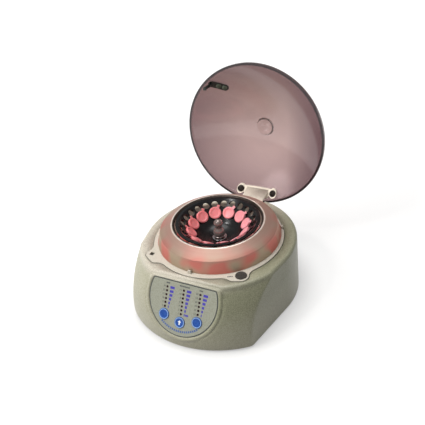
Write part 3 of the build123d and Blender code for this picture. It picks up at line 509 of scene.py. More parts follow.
# Rotor chamber
# A bowl deep drawn from aluminium, which hangs in the housing's well by its flange.
# It keeps the rotor's draught and any spill away from the motor.
spun_metal = finish("spun satin aluminium", "#c3bcb4", {"Metallic": 1.0, "Roughness": 0.4})


def spun_place(tree):
    """Distance from the rotor's axis and height, so that a pattern makes rings round it."""
    spot = axes(tree)
    flat = add_node(tree, "ShaderNodeCombineXYZ", {"X": spot["X"], "Y": spot["Y"]})
    reach = add_node(tree, "ShaderNodeVectorMath", {0: flat.outputs["Vector"]}, operation="LENGTH")
    return add_node(tree, "ShaderNodeCombineXYZ", {
        "X": reach.outputs["Value"], "Y": spot["Z"],
    }).outputs["Vector"]


bowl = spun_metal.node_tree
roughen(spun_metal, noise(bowl, 0.5, place=spun_place(bowl)), 0.02)
tint(spun_metal, noise(bowl, 3.0, place=spun_place(bowl)), "#b4ada6", "#cfc9c2")
skinned("rotor_chamber", "drawn_chamber", spun_metal)

# Deck insert
# A paler cream moulding let into the deck, with a fine seam round it.
# Its lobes carry the release button and the hole for the latch.
cream_abs = finish("smooth cream ABS", "#c6beb0", {
    "Roughness": 0.36, "IOR": 1.49, "Coat Weight": 0.2, "Coat Roughness": 0.2,
})
smooth = cream_abs.node_tree
tint(cream_abs, noise(smooth, 1.1, detail=3.0), "#c1b9aa", "#cbc4b6")
# The insert's foot, down in the seam, is painted dark as painted shade in the joint
seam_shade_share = add_node(smooth, "ShaderNodeMapRange", {
    "Value": axes(smooth)["Z"], "From Min": (deck_z + 0.2) * MM, "From Max": (deck_z - 0.1) * MM,
}).outputs["Result"]
cream = shader_inputs(cream_abs)["Base Color"]
cream_with_seam_shade = add_node(smooth, "ShaderNodeMix", {
    "Factor": seam_shade_share, "A": cream.links[0].from_socket, "B": hex_colour("#35332d"),
}, data_type="RGBA").outputs["Result"]
smooth.links.new(cream_with_seam_shade, cream)
roughen(cream_abs, noise(smooth, 1.5), 0.05)
skinned("deck_insert", "deck_moulding", cream_abs)

# Guard ring
# A ring spun from aluminium sheet over a former, with a step and a sloping crown.
# It is anodised a pale rose champagne and brushed round, so it shows fine rings.
ring_profile = [
    (65.0, 65.5), (64.3, 68.0), (62.3, 75.5), (61.5, 78.0), (61.0, 78.5),
    (58.0, 80.2), (52.0, 83.4), (48.9, 85.2), (47.2, 85.2), (45.4, 83.8),
    (45.4, 82.4), (47.8, 83.2), (52.0, 81.2), (59.3, 77.5), (63.6, 65.5),
]
champagne = finish("champagne anodised aluminium", "#c3a496", {
    "Metallic": 0.6, "Roughness": 0.48,
})
brushed = champagne.node_tree
# Brush lines of about 0.4 mm, drawn coarser than real
roughen(champagne, noise(brushed, 0.4, place=spun_place(brushed)), 0.012)
lines = noise(brushed, 2.2, place=spun_place(brushed))
# Red and beige blotches, mostly on the sloping band below the crown, are painted reflections
bloom = noise(brushed, 26.0, detail=1.0)
rose = add_node(brushed, "ShaderNodeMix", {
    "Factor": lines, "A": hex_colour("#b48e80"), "B": hex_colour("#c9a599"),
}, data_type="RGBA").outputs["Result"]
reflection_patch = add_node(brushed, "ShaderNodeMapRange", {
    "Value": bloom, "From Min": 0.42, "From Max": 0.6,
}).outputs["Result"]
painted_reflection_blotch = add_node(brushed, "ShaderNodeMix", {
    "Factor": reflection_patch, "A": hex_colour("#b09c84"), "B": hex_colour("#cb766a"),
}, data_type="RGBA").outputs["Result"]
on_band = add_node(brushed, "ShaderNodeMapRange", {
    "Value": axes(brushed)["Z"],
    "From Min": 82 * MM, "From Max": 76 * MM, "To Min": 0.2, "To Max": 0.95,
}).outputs["Result"]
anodised = add_node(brushed, "ShaderNodeMix", {
    "Factor": on_band, "A": rose, "B": painted_reflection_blotch,
}, data_type="RGBA").outputs["Result"]
brushed.links.new(anodised, shader_inputs(champagne)["Base Color"])
turned_lip = grained(
    "turned champagne aluminium", "#3e342e", {"Metallic": 0.65, "Roughness": 0.4},
    ("#362d28", "#4a3f38"), 3.0, 0.6, 0.02,
)
# The inner side catches light through the gap round the rotor, which a glow stands for
inside_glow = {"Emission Strength": 1.0, "Emission Color": hex_colour("#d2cfc3")}
bare_inside = grained(
    "matt aluminium", "#c9c5b4", {"Metallic": 0.2, "Roughness": 0.7, **inside_glow},
    ("#bfbbaa", "#d3cfbf"), 3.0, 0.6, 0.02,
)
ring = piece_from(turned(rounded(ring_profile, 0.5), 192), "spun_ring", 30)
coat(ring, champagne)
# The crown's top edge is painted near white, as a painted highlight along it
painted_edge_highlight = grained(
    "champagne aluminium with a painted highlight", "#efe0d2", {"Metallic": 0.5, "Roughness": 0.3},
    ("#e8d8c9", "#f4e7dc"), 6.0, 0.6, 0.01,
)
for material in (turned_lip, bare_inside, painted_edge_highlight):
    ring.data.materials.append(material)
edge_z = 84.7
lip_z = 82.0
lip_r = 47.8
foot_inner_r = 64.0
for face in ring.data.polygons:
    reach = face.center.xy.length / MM
    level = face.center.z / MM
    inwards = face.center.xy.dot(face.normal.xy) < 0
    if level > edge_z and reach > lip_r:
        face.material_index = 3
    elif level > lip_z and reach < lip_r + 0.1:
        face.material_index = 1
    elif inwards and reach < foot_inner_r:
        face.material_index = 2
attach(ring, "base")
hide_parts("guard_ring")

# Ring clips
# Three small moulded clips on the deck insert that hold the foot of the ring.
clip_plastic = grained(
    "ivory moulded nylon", "#c6beb0", {"Roughness": 0.4},
    ("#beb6a8", "#cec7b9"), 2.0, 0.6, 0.03,
)
dress("ring_clips", clip_plastic)

# Rotor
# A dish moulded in black polycarbonate, with twelve holes for tubes in its cone
# and a ring of small holes outside them. It is polished, so it mirrors the tubes.
black_pc = grained(
    "polished black polycarbonate", "#0d0d0e",
    {"Roughness": 0.26, "IOR": 1.45, "Coat Weight": 0.1, "Coat Roughness": 0.1},
    ("#0a0a0b", "#141415"), 5.0, 3.0, 0.02,
)
skinned("rotor", "tube_rotor", black_pc, 28)

# Sample tubes
# Twelve capped tubes of pink polypropylene, blow moulded with the cap on a strap.
# Each rests by its collar on the rotor's cone, with its tab turned the same way.
cone_angle = math.radians(45)
tube_seat_r = 29.8
cone_foot_r = 19.0
cone_foot_z = 63.0
seat_z = cone_foot_z + tube_seat_r - cone_foot_r
cap_r = 6.65
tube_r = 5.35
collar_lift = 0.53
cap_top = 2.5
tube_length = 39.5
tube_foot = cap_top - tube_length
tube_profile = [
    (0, cap_top - 0.5), (3.8, cap_top - 0.5), (4.5, cap_top - 0.1), (4.8, cap_top),
    (6.2, cap_top), (cap_r, cap_top - 0.5), (cap_r, 1.35), (6.2, 1.1), (6.2, 0.85),
    (cap_r, 0.7), (cap_r, 0.0), (tube_r, 0.0), (tube_r, tube_foot + 17.0),
    (1.9, tube_foot + 0.9), (1.2, tube_foot), (0, tube_foot),
]
tube_form = turned(rounded(tube_profile, 0.3, 3), 40)
tab_angle = math.radians(-125)
tab_start = cap_r - 0.6
tab_end = cap_r + 3.0
tab_half = 1.6
tab_bar = bmesh.ops.create_cube(tube_form, size=1)["verts"]
tab_thickness = 0.8
tab_size = Vector((tab_end - tab_start, 2 * tab_half, tab_thickness)) * MM
tab_middle = Vector(((tab_start + tab_end) / 2, 0, cap_top - 0.9)) * MM
bmesh.ops.scale(tube_form, verts=tab_bar, vec=tab_size)
bmesh.ops.translate(tube_form, verts=tab_bar, vec=tab_middle)
bmesh.ops.rotate(tube_form, verts=tab_bar, matrix=Matrix.Rotation(tab_angle, 3, "Z"))
tab_edges = list({edge for vert in tab_bar for edge in vert.link_edges})
bmesh.ops.bevel(tube_form, geom=tab_edges, offset=0.3 * MM, segments=2, affect="EDGES")
seat_axes = Matrix((
    (0, -math.cos(cone_angle), -math.sin(cone_angle)),
    (1, 0, 0),
    (0, -math.sin(cone_angle), math.cos(cone_angle)),
)).to_4x4()
seat_point = Vector((tube_seat_r, 0, seat_z)) * MM
lift = seat_axes.col[2].xyz * collar_lift * MM
tube_form.transform(Matrix.Translation(seat_point + lift) @ seat_axes)
one_tube = piece_from(tube_form, "tube")
pink_pp = finish("pink polypropylene", "#ef7f7d", {
    "Roughness": 0.3, "IOR": 1.49,
    "Subsurface Weight": 0.35, "Subsurface Scale": 0.003, "Subsurface Radius": (1.0, 0.45, 0.4),
})
# Painted light: the tubes run from coral on the left to a paler pink on the right, for how the
# light falls on them
tint(pink_pp, axes(pink_pp.node_tree)["X"], "#f38889", "#e0969c", -30 * MM, 30 * MM)
roughen(pink_pp, noise(pink_pp.node_tree, 1.0), 0.03)
tube_count = 12
tubes = copies(
    "capped_tubes", one_tube, [(0, 0, 0)] * tube_count, pink_pp,
    first_turn=4.0, turn_step=360 / tube_count,
)
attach(tubes, "rotor")
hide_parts("sample_tubes")

# Washer and nut
# A polished steel washer, and a turned nut with a waist and a ball to grip.
# Both are chromed, which reflects the black dish below.
chrome = grained(
    "dark chrome", "#9c8d88", {"Metallic": 0.7, "Roughness": 0.16},
    ("#90817c", "#a89994"), 6.0, 4.0, 0.01,
)
bright_chrome = grained(
    "bright chrome", "#d5d6d8", {"Metallic": 1.0, "Roughness": 0.12},
    ("#cccdcf", "#dfe0e2"), 5.0, 4.0, 0.01,
)
bore_r = 3.0
washer_r = 7.5
washer_low = 63.0
washer_high = 64.2
washer_profile = [
    (bore_r, washer_low), (washer_r, washer_low), (washer_r, washer_high), (bore_r, washer_high),
]
washer = piece_from(turned(rounded(washer_profile, 0.3), 64), "polished_washer")
coat(washer, bright_chrome)
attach(washer, "rotor")
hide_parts("nut_washer")
ball_r = 4.8
ball_z = 80.6
bore_top = 72.0
nut_profile = [(bore_r, bore_top), (bore_r, washer_high), (4.6, washer_high), (5.5, 66.0)]
nut_profile += [(6.1, 68.4), (6.2, 69.4), (6.0, 71.0), (5.4, 72.9), (4.4, 74.4)]
nut_profile += [(3.4, 75.4), (3.4, 77.2)]
ball_start = -46
ball_turn = 13.6
for step in range(11):
    turn = math.radians(ball_start + step * ball_turn)
    nut_profile.append((ball_r * math.cos(turn), ball_z + ball_r * math.sin(turn)))
nut_profile[-1] = (0, ball_z + ball_r)
nut_profile.append((0, bore_top))
nut = piece_from(turned(rounded(nut_profile, 0.35, 3), 64), "grip_nut", 50)
coat(nut, chrome)
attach(nut, "rotor")
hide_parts("rotor_nut")

# Control board
# A green glass-fibre laminate behind the panel, with the switches and lamps on it.
# Moulded posts hold it off the back of the housing's sloping face.
laminate = grained(
    "green solder mask on laminate", "#1d5a34", {"Roughness": 0.35},
    ("#194f2e", "#23693e"), 2.0, 0.9, 0.02,
)
dress("control_board", laminate)
post_abs = grained(
    "natural moulded ABS", "#c9c4b2", {"Roughness": 0.5},
    ("#c1bca9", "#d2cdbd"), 2.5, 0.6, 0.04,
)
skinned("board_standoffs", "board_posts", post_abs)
black_nylon = grained(
    "black moulded nylon", "#161617", {"Roughness": 0.45},
    ("#111112", "#1e1e20"), 2.0, 0.6, 0.04,
)
dress("key_switches", black_nylon)

# Control panel
# A thin D-shaped plate let into the bezel, with a printed pale green film on it.
# The film has a dark line round it, scales beside the lamps and ticks below the keys.
facet_y = -77.2
facet_z = 60.4
facet_slope = math.radians(60)
facet = Matrix((
    (1, 0, 0, 0),
    (0, math.cos(facet_slope), -math.sin(facet_slope), facet_y * MM),
    (0, math.sin(facet_slope), math.cos(facet_slope), facet_z * MM),
    (0, 0, 0, 1),
))
film = grained(
    "printed pale green film", "#999a8a", {"Roughness": 0.4, "IOR": 1.5},
    ("#939484", "#a1a293"), 1.2, 0.8, 0.015,
)
dress("control_panel", film)
dry = {"Roughness": 0.5}
ink = grained("dark screen ink", "#3b3f45", dry, ("#34383d", "#444950"), 0.7)
violet_ink = grained("violet screen ink", "#463fa8", dry, ("#4039a0", "#5049b2"), 0.7)
blue_ink = grained("blue-grey screen ink", "#51689a", dry, ("#4b6192", "#5b72a4"), 0.7)
ink_height = 0.03
panel_r = 37.8
panel_drop = 15.0
panel_top = 0.5


def plate(form, x, y, half_x, half_y):
    """A thin printed block, centred at a point of the facet, in millimetres."""
    corners = bmesh.ops.create_cube(form, size=1)["verts"]
    bmesh.ops.scale(form, verts=corners, vec=Vector((2 * half_x, 2 * half_y, ink_height)) * MM)
    bmesh.ops.translate(form, verts=corners, vec=Vector((x, y, ink_height / 2)) * MM)


def on_facet(piece, material, body="base"):
    """Lay a piece made in the facet's own plane on it, in place."""
    piece.data.transform(facet)
    coat(piece, material)
    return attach(piece, body)


lamp_pitch = 3.95
lamp_top = -6.8
bar_length = 4.9
bar_shortening = 3.9
dash_pitch = 1.4
lamp_columns = {"left_lamps": (-18.6, 6), "middle_lamps": (0.0, 7), "right_lamps": (18.2, 6)}
bars = bmesh.new()
dashes = bmesh.new()
captions = {"left_lamps": 3, "middle_lamps": 8, "right_lamps": 3}
for column, (x, count) in lamp_columns.items():
    for row in range(count):
        y = lamp_top - row * lamp_pitch
        half = (bar_length - bar_shortening * row / (count - 1)) / 2
        plate(bars, x + 3.4 + half, y, half, 1.25)
    for dash in range(captions[column]):
        along = x + 1.2 + (dash - captions[column] / 2) * dash_pitch
        plate(dashes, along, lamp_top + 3.9, 0.5, 0.7)
plate(bars, 6.6, lamp_top - 6 * lamp_pitch, 1.7, 0.9)
on_facet(piece_from(bars, "printed_bars"), violet_ink)
on_facet(piece_from(dashes, "printed_dashes"), ink)


def outline_strip(r, top, corner, width):
    """A flat line of a width that follows the D of the panel."""
    start = math.asin((top + panel_drop) / r)
    steps = 96
    turns = [start - (math.pi + 2 * start) * step / steps for step in range(steps + 1)]
    bow = [(r * math.cos(turn), r * math.sin(turn) - panel_drop) for turn in turns]
    path = rounded(bow, corner)
    form = bmesh.new()
    edges = []
    for step, point in enumerate(path):
        along = path[(step + 1) % len(path)] - path[step - 1]
        across = Vector((along.y, -along.x)).normalized() * width / 2
        edges.append([
            form.verts.new((place.x * MM, place.y * MM, z * MM))
            for place, z in (
                (point - across, 0), (point - across, ink_height),
                (point + across, ink_height), (point + across, 0),
            )
        ])
    for step, here in enumerate(edges):
        beyond = edges[(step + 1) % len(edges)]
        for side in range(4):
            after = (side + 1) % 4
            form.faces.new((here[side], here[after], beyond[after], beyond[side]))
    bmesh.ops.recalc_face_normals(form, faces=form.faces)
    return form


inset = 0.4
outline = outline_strip(panel_r - inset, panel_top - inset, corner=1.1, width=0.7)
on_facet(piece_from(outline, "printed_outline"), ink)


def numbers(values, x, top, pitch, size, name):
    """A column of small printed numbers, centred on a line of the facet."""
    column = []
    for row, value in enumerate(values):
        text = bpy.data.curves.new(name, "FONT")
        text.body = str(value)
        text.size = size * MM
        text.extrude = ink_height / 2 * MM
        text.align_x = "RIGHT"
        text.align_y = "CENTER"
        text.resolution_u = 2
        writing = in_scene(name, text)
        writing.location = (x * MM, (top - row * pitch) * MM, ink_height / 2 * MM)
        bpy.context.view_layer.update()
        mesh = applied(writing)
        mesh.transform(writing.matrix_world)
        column.append(mesh)
        bpy.data.objects.remove(writing)
    form = bmesh.new()
    for mesh in column:
        form.from_mesh(mesh)
        bpy.data.meshes.remove(mesh)
    bmesh.ops.remove_doubles(form, verts=form.verts, dist=0.001 * MM)
    return piece_from(form, name)


scales = {
    "left_numbers": (-20.6, (30, 20, 15, 10, 5, 2)),
    "middle_numbers": (-2.2, (12, 10, 8, 6, 4, 2, 1)),
    "right_numbers": (16.0, (60, 50, 40, 30, 20, 10)),
}
number_size = 2.6
for name, (x, values) in scales.items():
    column = numbers(values, x, lamp_top, lamp_pitch, number_size, name)
    on_facet(column, ink)

tick_form = bmesh.new()
plate(tick_form, 0, -32.8, 0.8, 1.05)
tick = piece_from(tick_form, "tick")
tick_count = 19
ticks = copies(
    "printed_ticks", tick, [(0, 0, 0)] * tick_count, blue_ink, first_turn=-36.0, turn_step=4.0,
)
ticks.data.transform(Matrix.Translation((0, -panel_drop * MM, 0)))
on_facet(ticks, blue_ink)

# Lamps
# Small light-emitting diodes with dark red domed lenses, soldered to the board.
# Each comes up through its own hole in the panel.
lens = grained(
    "dark red acrylic lens", "#2b1518", {"Roughness": 0.15, "IOR": 1.49},
    ("#241114", "#391c20"), 1.5, 0.8, 0.01,
)
lamp_profile = [(0, -10.0), (1.2, -10.0), (1.2, -0.1), (0.95, 0.08), (0.5, 0.2), (0, 0.25)]
for node, (x, count) in lamp_columns.items():
    lamp = piece_from(turned(lamp_profile, 24), "lamp")
    points = [(x, lamp_top - row * lamp_pitch, 0) for row in range(count)]
    column = copies(node + "_lenses", lamp, points, lens)
    on_facet(column, lens)
    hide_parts(node)

# Keys
# Three round keys moulded in blue polycarbonate, with a lighter rim round a dished top.
# Each slides in its hole against the switch on the board.
key_blue = grained(
    "blue moulded polycarbonate", "#1c4b9c", {"Roughness": 0.32, "IOR": 1.58},
    ("#194694", "#2656a8"), 2.0, 0.7, 0.02,
)
rim_blue = grained(
    "pale blue print", "#8fb0dc", {"Roughness": 0.4}, ("#86a8d6", "#9bbae2"), 1.0,
)
white_ink = grained(
    "white screen ink", "#e9eef4", {"Roughness": 0.45}, ("#e0e6ee", "#f2f5f9"), 1.0,
)
key_r = 5.5
flange_r = 6.6
flange_high = -4.2
flange_low = -5.2
key_profile = [(0, 0.45), (3.9, 0.6), (4.7, 0.8), (key_r, 0.8), (key_r, flange_high)]
key_profile += [(flange_r, flange_high), (flange_r, flange_low), (0, flange_low)]
rim_profile = [(4.35, 0.6), (key_r - 0.35, 0.6), (key_r - 0.35, 0.83), (4.35, 0.76)]
sign_low = 0.42
sign_high = 0.62
key_places = {"time_key": (-18.4, -34.4), "start_key": (0.0, -38.9), "speed_key": (18.4, -34.4)}
for node, (x, y) in key_places.items():
    place = Matrix.Translation((x * MM, y * MM, 0))
    key = piece_from(turned(rounded(key_profile, 0.3), 64), node + "_cap")
    key.data.transform(place)
    on_facet(key, key_blue, node)
    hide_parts(node)
    rim = piece_from(turned(rounded(rim_profile, 0.08, 2), 64), node + "_rim")
    rim.data.transform(place)
    on_facet(rim, rim_blue, node)
    if node == "start_key":
        sign = bmesh.new()
        arrow = [(-1.9, 0.3), (0, 2.4), (1.9, 0.3), (0.75, 0.3)]
        arrow += [(0.75, -2.2), (-0.75, -2.2), (-0.75, 0.3)]
        lower, upper = (
            [sign.verts.new(Vector((*corner, level)) * MM) for corner in arrow]
            for level in (sign_low, sign_high)
        )
        sign.faces.new(lower)
        sign.faces.new(upper)
        for step, low in enumerate(lower):
            after = (step + 1) % len(arrow)
            sign.faces.new((low, lower[after], upper[after], upper[step]))
        bmesh.ops.recalc_face_normals(sign, faces=sign.faces)
        mark = piece_from(sign, node + "_sign")
        mark.data.transform(place)
        on_facet(mark, white_ink, node)

# Latch under the deck
# A solenoid in a plated frame draws a flat steel bolt back from the lid's hook.
dress("latch_solenoid", plated_steel)
dress("latch_bolt", plated_steel)

# Release button
# A round button moulded in dark grey ABS, with small pips on its top for grip.
# It slides in the deck insert and presses a switch in a hanger below.
button_low, button_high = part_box("release_button")
button_x = (button_low.x + button_high.x) / 2 / MM
button_y = (button_low.y + button_high.y) / 2 / MM
button_r = 5.6
button_top = button_high.z / MM
button_grey = grained(
    "dark grey moulded ABS", "#37332e", {"Roughness": 0.5},
    ("#2e2a26", "#433e38"), 1.2, 0.7, 0.05,
)
dish_z = button_top - 0.35
collar_r = 7.2
collar_high = 61.8
collar_low = 60.8
stem_r = 2.2
stem_z = button_low.z / MM
button_profile = [(0, dish_z), (4.6, dish_z), (4.9, button_top), (button_r, button_top)]
button_profile += [(button_r, collar_high), (collar_r, collar_high), (collar_r, collar_low)]
button_profile += [(stem_r, collar_low), (stem_r, stem_z), (0, stem_z)]
button = piece_from(turned(rounded(button_profile, 0.25), 64), "button_cap")
button.data.transform(Matrix.Translation((button_x * MM, button_y * MM, 0)))
coat(button, button_grey)
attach(button, "release_button")
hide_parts("release_button")
pip_profile = [(0, -0.1), (0.42, -0.1), (0.4, 0.1), (0.2, 0.24), (0, 0.27)]
pip = piece_from(turned(pip_profile, 10), "pip")
pip_pitch = 1.25
pip_reach = 4.2
pip_points = []
for row in range(-4, 5):
    for column in range(-4, 5):
        x = (column + row % 2 / 2) * pip_pitch
        y = row * pip_pitch * math.sin(math.radians(60))
        if math.hypot(x, y) < pip_reach:
            pip_points.append((button_x + x, button_y + y, dish_z))
pips = copies("button_pips", pip, pip_points, button_grey)
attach(pips, "release_button")
label = bmesh.new()
label_pitch = 1.35
for dash in range(4):
    plate(label, (dash - 1.5) * label_pitch, 0, 0.5, 0.75)
label_place = Vector((39.8, -57.6, 65.5)) * MM
label_turn = Matrix.Rotation(math.radians(26.8), 4, "Z")
label_print = piece_from(label, "printed_label")
label_print.data.transform(Matrix.Translation(label_place) @ label_turn)
coat(label_print, ink)
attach(label_print, "base")
dress("button_switch", black_nylon)
skinned("switch_hanger", "folded_hanger", plated_steel)

# Hinge bracket and pin
# A bracket folded from steel sheet in the pocket behind the deck, and a ground pin
# that passes through its two cheeks and the barrel of the lid's leaf.
skinned("hinge_bracket", "folded_bracket", plated_steel)
skinned("hinge_pin", "ground_pin", ground_steel)

# Hinge leaf
# A leaf pressed from steel to the curve of the lid, with an arm down to its barrel.
# It is painted cream, like the housing, and screwed to the dome.
cream_paint = finish("cream enamel on steel", "#eee1ce", {"Roughness": 0.35, "IOR": 1.5})
tint(cream_paint, noise(cream_paint.node_tree, 1.4, detail=3.0), "#e8dbc8", "#f4e8d7")
roughen(cream_paint, noise(cream_paint.node_tree, 1.6), 0.05)
skinned("hinge_leaf", "painted_leaf", cream_paint)

# Lid dome
# A shallow dome on a short skirt, vacuum formed from smoked mauve acrylic, with a bump on top
# as a grip. Its rim is cut square, and its edge is painted darker, as painted shade for how it
# looks where light gathers there.
smoked = finish("smoked mauve acrylic", "#a3908f", {
    "Roughness": 0.12, "IOR": 1.49, "Transmission Weight": 0.9,
})
plastic = smoked.node_tree
spot = axes(plastic)
# Painted shade: the wall is darker upwards and to the right, and towards the rim, as it looks
# where it is seen slantwise
open_lid_z = 132
over_middle = add_node(plastic, "ShaderNodeMath", {
    0: spot["Z"], 1: open_lid_z * MM,
}, operation="SUBTRACT").outputs["Value"]
from_middle = add_node(plastic, "ShaderNodeCombineXYZ", {"X": spot["X"], "Z": over_middle})
reach = add_node(plastic, "ShaderNodeVectorMath", {
    0: from_middle.outputs["Vector"],
}, operation="LENGTH").outputs["Value"]
smoke_and_painted_shade = hex_colour("#c6aaa7")
for measure, low, high, most, colour in (
    (spot["Z"], 80, 190, 1.0, "#927872"),
    (reach, 30, 80, 0.75, "#7d6467"),
    (spot["X"], 30, 74, 0.8, "#674b51"),
):
    share = add_node(plastic, "ShaderNodeMapRange", {
        "Value": measure, "From Min": low * MM, "From Max": high * MM, "To Max": most,
    }).outputs["Result"]
    smoke_and_painted_shade = add_node(plastic, "ShaderNodeMix", {
        "Factor": share, "A": smoke_and_painted_shade, "B": hex_colour(colour),
    }, data_type="RGBA").outputs["Result"]
plastic.links.new(smoke_and_painted_shade, shader_inputs(smoked)["Base Color"])
roughen(smoked, noise(plastic, 30.0), 0.05)
# Painted shade: the dome's rim faces take this darker acrylic
rim_painted_shade = grained(
    "smoked mauve acrylic edge", "#32282a", {"Roughness": 0.2, "IOR": 1.49},
    ("#2b2224", "#3b3032"), 8.0,
)
lid_r = 81.1
lid_rise = 34.5
lid_skirt = 5.0
lid_knuckle = 5.0
lid_wall = 2.5
knob_r = 10.8
knob_rise = 6.0
knob_wall = 2.0
rim_z = 65.9
cap_rise = lid_rise - lid_skirt
sphere_r = (lid_r**2 + cap_rise**2) / (2 * cap_rise)
centre_z = rim_z + lid_rise - sphere_r
inner_r = sphere_r - lid_wall
knuckle_r = lid_r - lid_knuckle
knuckle_up = math.sqrt((sphere_r - lid_knuckle) ** 2 - knuckle_r**2)
dome_steps = 48
bend_steps = 8
knob_steps = 10


def dome_line(depth, start_r):
    """Points down the dome, a depth inside its outer face, from one radius to the rim."""
    radius = sphere_r - depth
    start = math.asin(start_r / radius)
    end = math.atan2(knuckle_r, knuckle_up)
    turns = [start + (end - start) * step / dome_steps for step in range(dome_steps + 1)]
    line = [(radius * math.sin(turn), centre_z + radius * math.cos(turn)) for turn in turns]
    bend = lid_knuckle - depth
    turns = [
        end + (math.pi / 2 - end) * step / bend_steps for step in range(1, bend_steps + 1)
    ]
    line += [
        (knuckle_r + bend * math.sin(turn), centre_z + knuckle_up + bend * math.cos(turn))
        for turn in turns
    ]
    return line + [(lid_r - depth, rim_z)]


def knob_arc(foot_r, foot_z, rise):
    """Points over the bump, from its top to its foot."""
    radius = (foot_r**2 + rise**2) / (2 * rise)
    end = math.asin(foot_r / radius)
    middle_z = foot_z + rise - radius
    turns = [end * step / knob_steps for step in range(knob_steps + 1)]
    return [(radius * math.sin(turn), middle_z + radius * math.cos(turn)) for turn in turns]


knob_z = centre_z + math.sqrt(sphere_r**2 - knob_r**2)
hollow_r = knob_r - knob_wall
hollow_z = centre_z + math.sqrt(inner_r**2 - hollow_r**2)
hollow_rise = knob_z + knob_rise - knob_wall - hollow_z
outer_line = knob_arc(knob_r, knob_z, knob_rise)[:-1] + dome_line(0, knob_r)
inner_line = knob_arc(hollow_r, hollow_z, hollow_rise)[:-1] + dome_line(lid_wall, hollow_r)
dome_form = turned(outer_line + inner_line[::-1], 192)
rim_faces_below = (rim_z + 0.1) * MM
hinge = next(joint for joint in frame["joints"] if joint["name"] == "lid_hinge")
pin = Vector(hinge["pos_m"])
lid_open = 97.0
opening = Matrix.Rotation(math.radians(-lid_open), 4, "X")
swing = Matrix.Translation(pin) @ opening @ Matrix.Translation(-pin)
dome = piece_from(dome_form, "smoked_dome", 40)
dome.data.materials.append(smoked)
dome.data.materials.append(rim_painted_shade)
for face in dome.data.polygons:
    if face.center.z < rim_faces_below:
        face.material_index = 1
dome.data.transform(swing)
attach(dome, "lid")
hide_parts("lid_dome")

# Leaf screws
# Two blackened steel screws with broad heads that hold the leaf to the dome.
blackened = grained(
    "blackened steel", "#2c241f", {"Metallic": 0.6, "Roughness": 0.4},
    ("#241d19", "#382f29"), 1.5, 0.6, 0.02,
)


def dome_screws(places, head_r, head_height, depth, name, node, material):
    """Screw heads seated on a face under the dome, each along the dome's own normal."""
    form = bmesh.new()
    for x, y in places:
        seat = math.sqrt((inner_r - depth) ** 2 - head_r**2)
        z = math.sqrt(seat**2 - x**2 - y**2)
        inwards = -Vector((x, y, z)).normalized()
        head = screw_head(head_r, head_height, head_r * 0.55, name)
        turn = inwards.to_track_quat("Z", "Y").to_matrix().to_4x4()
        head.data.transform(Matrix.Translation(Vector((x, y, centre_z + z)) * MM) @ turn)
        form.from_mesh(head.data)
        bpy.data.objects.remove(head)
    heads = piece_from(form, name)
    heads.data.transform(swing)
    coat(heads, material)
    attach(heads, "lid")
    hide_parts(node)


dome_screws(
    [(-20.0, 70.0), (20.0, 70.0)], head_r=4.0, head_height=1.6, depth=1.6,
    name="leaf_screw_heads", node="leaf_screws", material=blackened,
)

# Lid hook and its screws
# A hook folded from steel and painted black-green, whose barb goes down through the deck.
# Two screws hold its plate under the dome.
hook_paint = grained(
    "black-green enamel", "#1d231f", {"Roughness": 0.3, "IOR": 1.5},
    ("#181d1a", "#262e29"), 1.5, 0.8, 0.03,
)
olive_zinc = grained(
    "olive passivated zinc", "#646b5b", {"Metallic": 0.7, "Roughness": 0.4},
    ("#5a6152", "#70776a"), 1.5, 0.6, 0.02,
)
skinned("lid_hook", "folded_hook", hook_paint)
dome_screws(
    [(-46.066, -49.402), (-40.503, -47.155)], head_r=3.1, head_height=1.0, depth=1.2,
    name="hook_screw_heads", node="hook_screws", material=olive_zinc,
)

# Power inlet
# A round low-voltage socket moulded in black nylon, with a plated pin in its middle.
skinned("power_inlet", "round_inlet", black_nylon)

# Rocker switch
# A black nylon frame clipped into the recess, with a glossy rocker on its pivot.
# The photograph doesn't show this side, so its two ends are left bare.
skinned("switch_frame", "rocker_frame", black_nylon)
gloss_black = grained(
    "glossy black polycarbonate", "#101011", {"Roughness": 0.18, "IOR": 1.58},
    ("#0c0c0d", "#171718"), 2.0, 1.0, 0.015,
)
skinned("power_rocker", "switch_rocker", gloss_black)

# Floor, light and camera
# A plain pale floor under a soft studio light, seen from the photograph's side.
floor_form = bmesh.new()
bmesh.ops.create_grid(floor_form, x_segments=1, y_segments=1, size=4)
floor = piece_from(floor_form, "floor")
paper = bpy.data.materials.new("pale paper")
paper.use_nodes = True
sheet = paper.node_tree
sheet.nodes.clear()
ray = add_node(sheet, "ShaderNodeLightPath").outputs
seen = add_node(sheet, "ShaderNodeMath", {
    0: ray["Is Camera Ray"], 1: ray["Is Glossy Ray"],
}, operation="MAXIMUM").outputs["Value"]
seen = add_node(sheet, "ShaderNodeMath", {
    0: seen, 1: ray["Is Transmission Ray"],
}, operation="MAXIMUM").outputs["Value"]
# The camera sees near white paper, while the part is lit by a darker one
plain = add_node(sheet, "ShaderNodeBsdfDiffuse", {"Color": hex_colour("#a3a19d")})
faint = add_node(sheet, "ShaderNodeBsdfDiffuse", {"Color": hex_colour("#a5a4a2")})
away = add_node(sheet, "ShaderNodeVectorMath", {0: object_place(sheet)}, operation="LENGTH")
bright = add_node(sheet, "ShaderNodeMapRange", {
    "Value": away.outputs["Value"],
    "From Min": 0.4, "From Max": 1.2, "To Min": 0.72, "To Max": 1.0,
}).outputs["Result"]
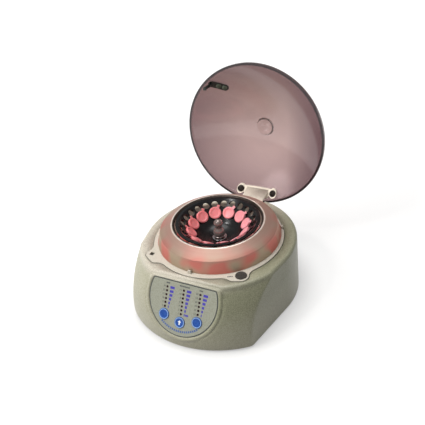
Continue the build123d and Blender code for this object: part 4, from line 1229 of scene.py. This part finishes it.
# A soft contact shadow lies on the paper round the foot of the housing
openness = add_node(sheet, "ShaderNodeAmbientOcclusion", {"Distance": 0.03}).outputs["AO"]
contact = add_node(sheet, "ShaderNodeMapRange", {
    "Value": openness, "From Min": 0.45, "To Min": 0.62,
}).outputs["Result"]
dimmed = add_node(sheet, "ShaderNodeMath", {
    0: bright, 1: contact,
}, operation="MULTIPLY").outputs["Value"]
glow = add_node(sheet, "ShaderNodeEmission", {"Color": (1, 1, 1, 1), "Strength": dimmed})
lit = add_node(sheet, "ShaderNodeAddShader", {
    0: faint.outputs["BSDF"], 1: glow.outputs["Emission"],
})
shown = add_node(sheet, "ShaderNodeMixShader", {
    "Fac": seen, 1: plain.outputs["BSDF"], 2: lit.outputs["Shader"],
})
add_node(sheet, "ShaderNodeOutputMaterial", {"Surface": shown.outputs["Shader"]})
coat(floor, paper)

world = bpy.data.worlds.new("studio")
bpy.context.scene.world = world
world.use_nodes = True
sky = world.node_tree
sky.nodes.clear()
ray = add_node(sky, "ShaderNodeLightPath").outputs
seen = add_node(sky, "ShaderNodeMath", {
    0: ray["Is Camera Ray"], 1: ray["Is Transmission Ray"],
}, operation="MAXIMUM").outputs["Value"]
strength = add_node(sky, "ShaderNodeMapRange", {
    "Value": seen, "To Min": 0.3, "To Max": 1.0,
}).outputs["Result"]
backdrop = add_node(sky, "ShaderNodeBackground", {"Color": (1, 1, 1, 1), "Strength": strength})
add_node(sky, "ShaderNodeOutputWorld", {"Surface": backdrop.outputs["Background"]})


def soft_box(name, place, target, size, power):
    """A round area lamp that faces a point."""
    lamp = bpy.data.lights.new(name, "AREA")
    lamp.shape = "DISK"
    lamp.size = size
    lamp.energy = power
    box = in_scene(name, lamp)
    box.location = place
    box.rotation_euler = (Vector(target) - Vector(place)).to_track_quat("-Z", "Y").to_euler()
    return box


middle = (0, 0, 0.06)
key_light = soft_box("key_light", (-0.95, -0.6, 0.9), middle, size=0.9, power=15.0)
# Its mirror image in the lid would be a hard bright disc, which the photograph doesn't show
key_light.visible_glossy = False
soft_box("top_light", (-0.1, 0.1, 1.3), middle, size=0.9, power=7.0)
soft_box("sparkle_light", (-0.3, -0.45, 0.85), middle, size=0.1, power=1.6)

azimuth = math.radians(30.69)
elevation = math.radians(33.562)
roll = math.radians(-6.939)
lens_mm = 53.39
sensor_mm = 36.0
camera_place = Vector((0.2713, -0.4658, 0.4525))
back = Vector((
    math.sin(azimuth) * math.cos(elevation),
    -math.cos(azimuth) * math.cos(elevation),
    math.sin(elevation),
))
right = Vector((math.cos(azimuth), math.sin(azimuth), 0))
up = back.cross(right)
camera_x = right * math.cos(roll) + up * math.sin(roll)
camera_y = up * math.cos(roll) - right * math.sin(roll)
lens_data = bpy.data.cameras.new("camera")
lens_data.lens = lens_mm
lens_data.sensor_width = sensor_mm
camera = in_scene("camera", lens_data)
facing = Matrix((camera_x, camera_y, back)).transposed().to_4x4()
camera.matrix_world = Matrix.Translation(camera_place) @ facing
bpy.context.scene.camera = camera
bpy.context.scene.view_settings.view_transform = "Standard"
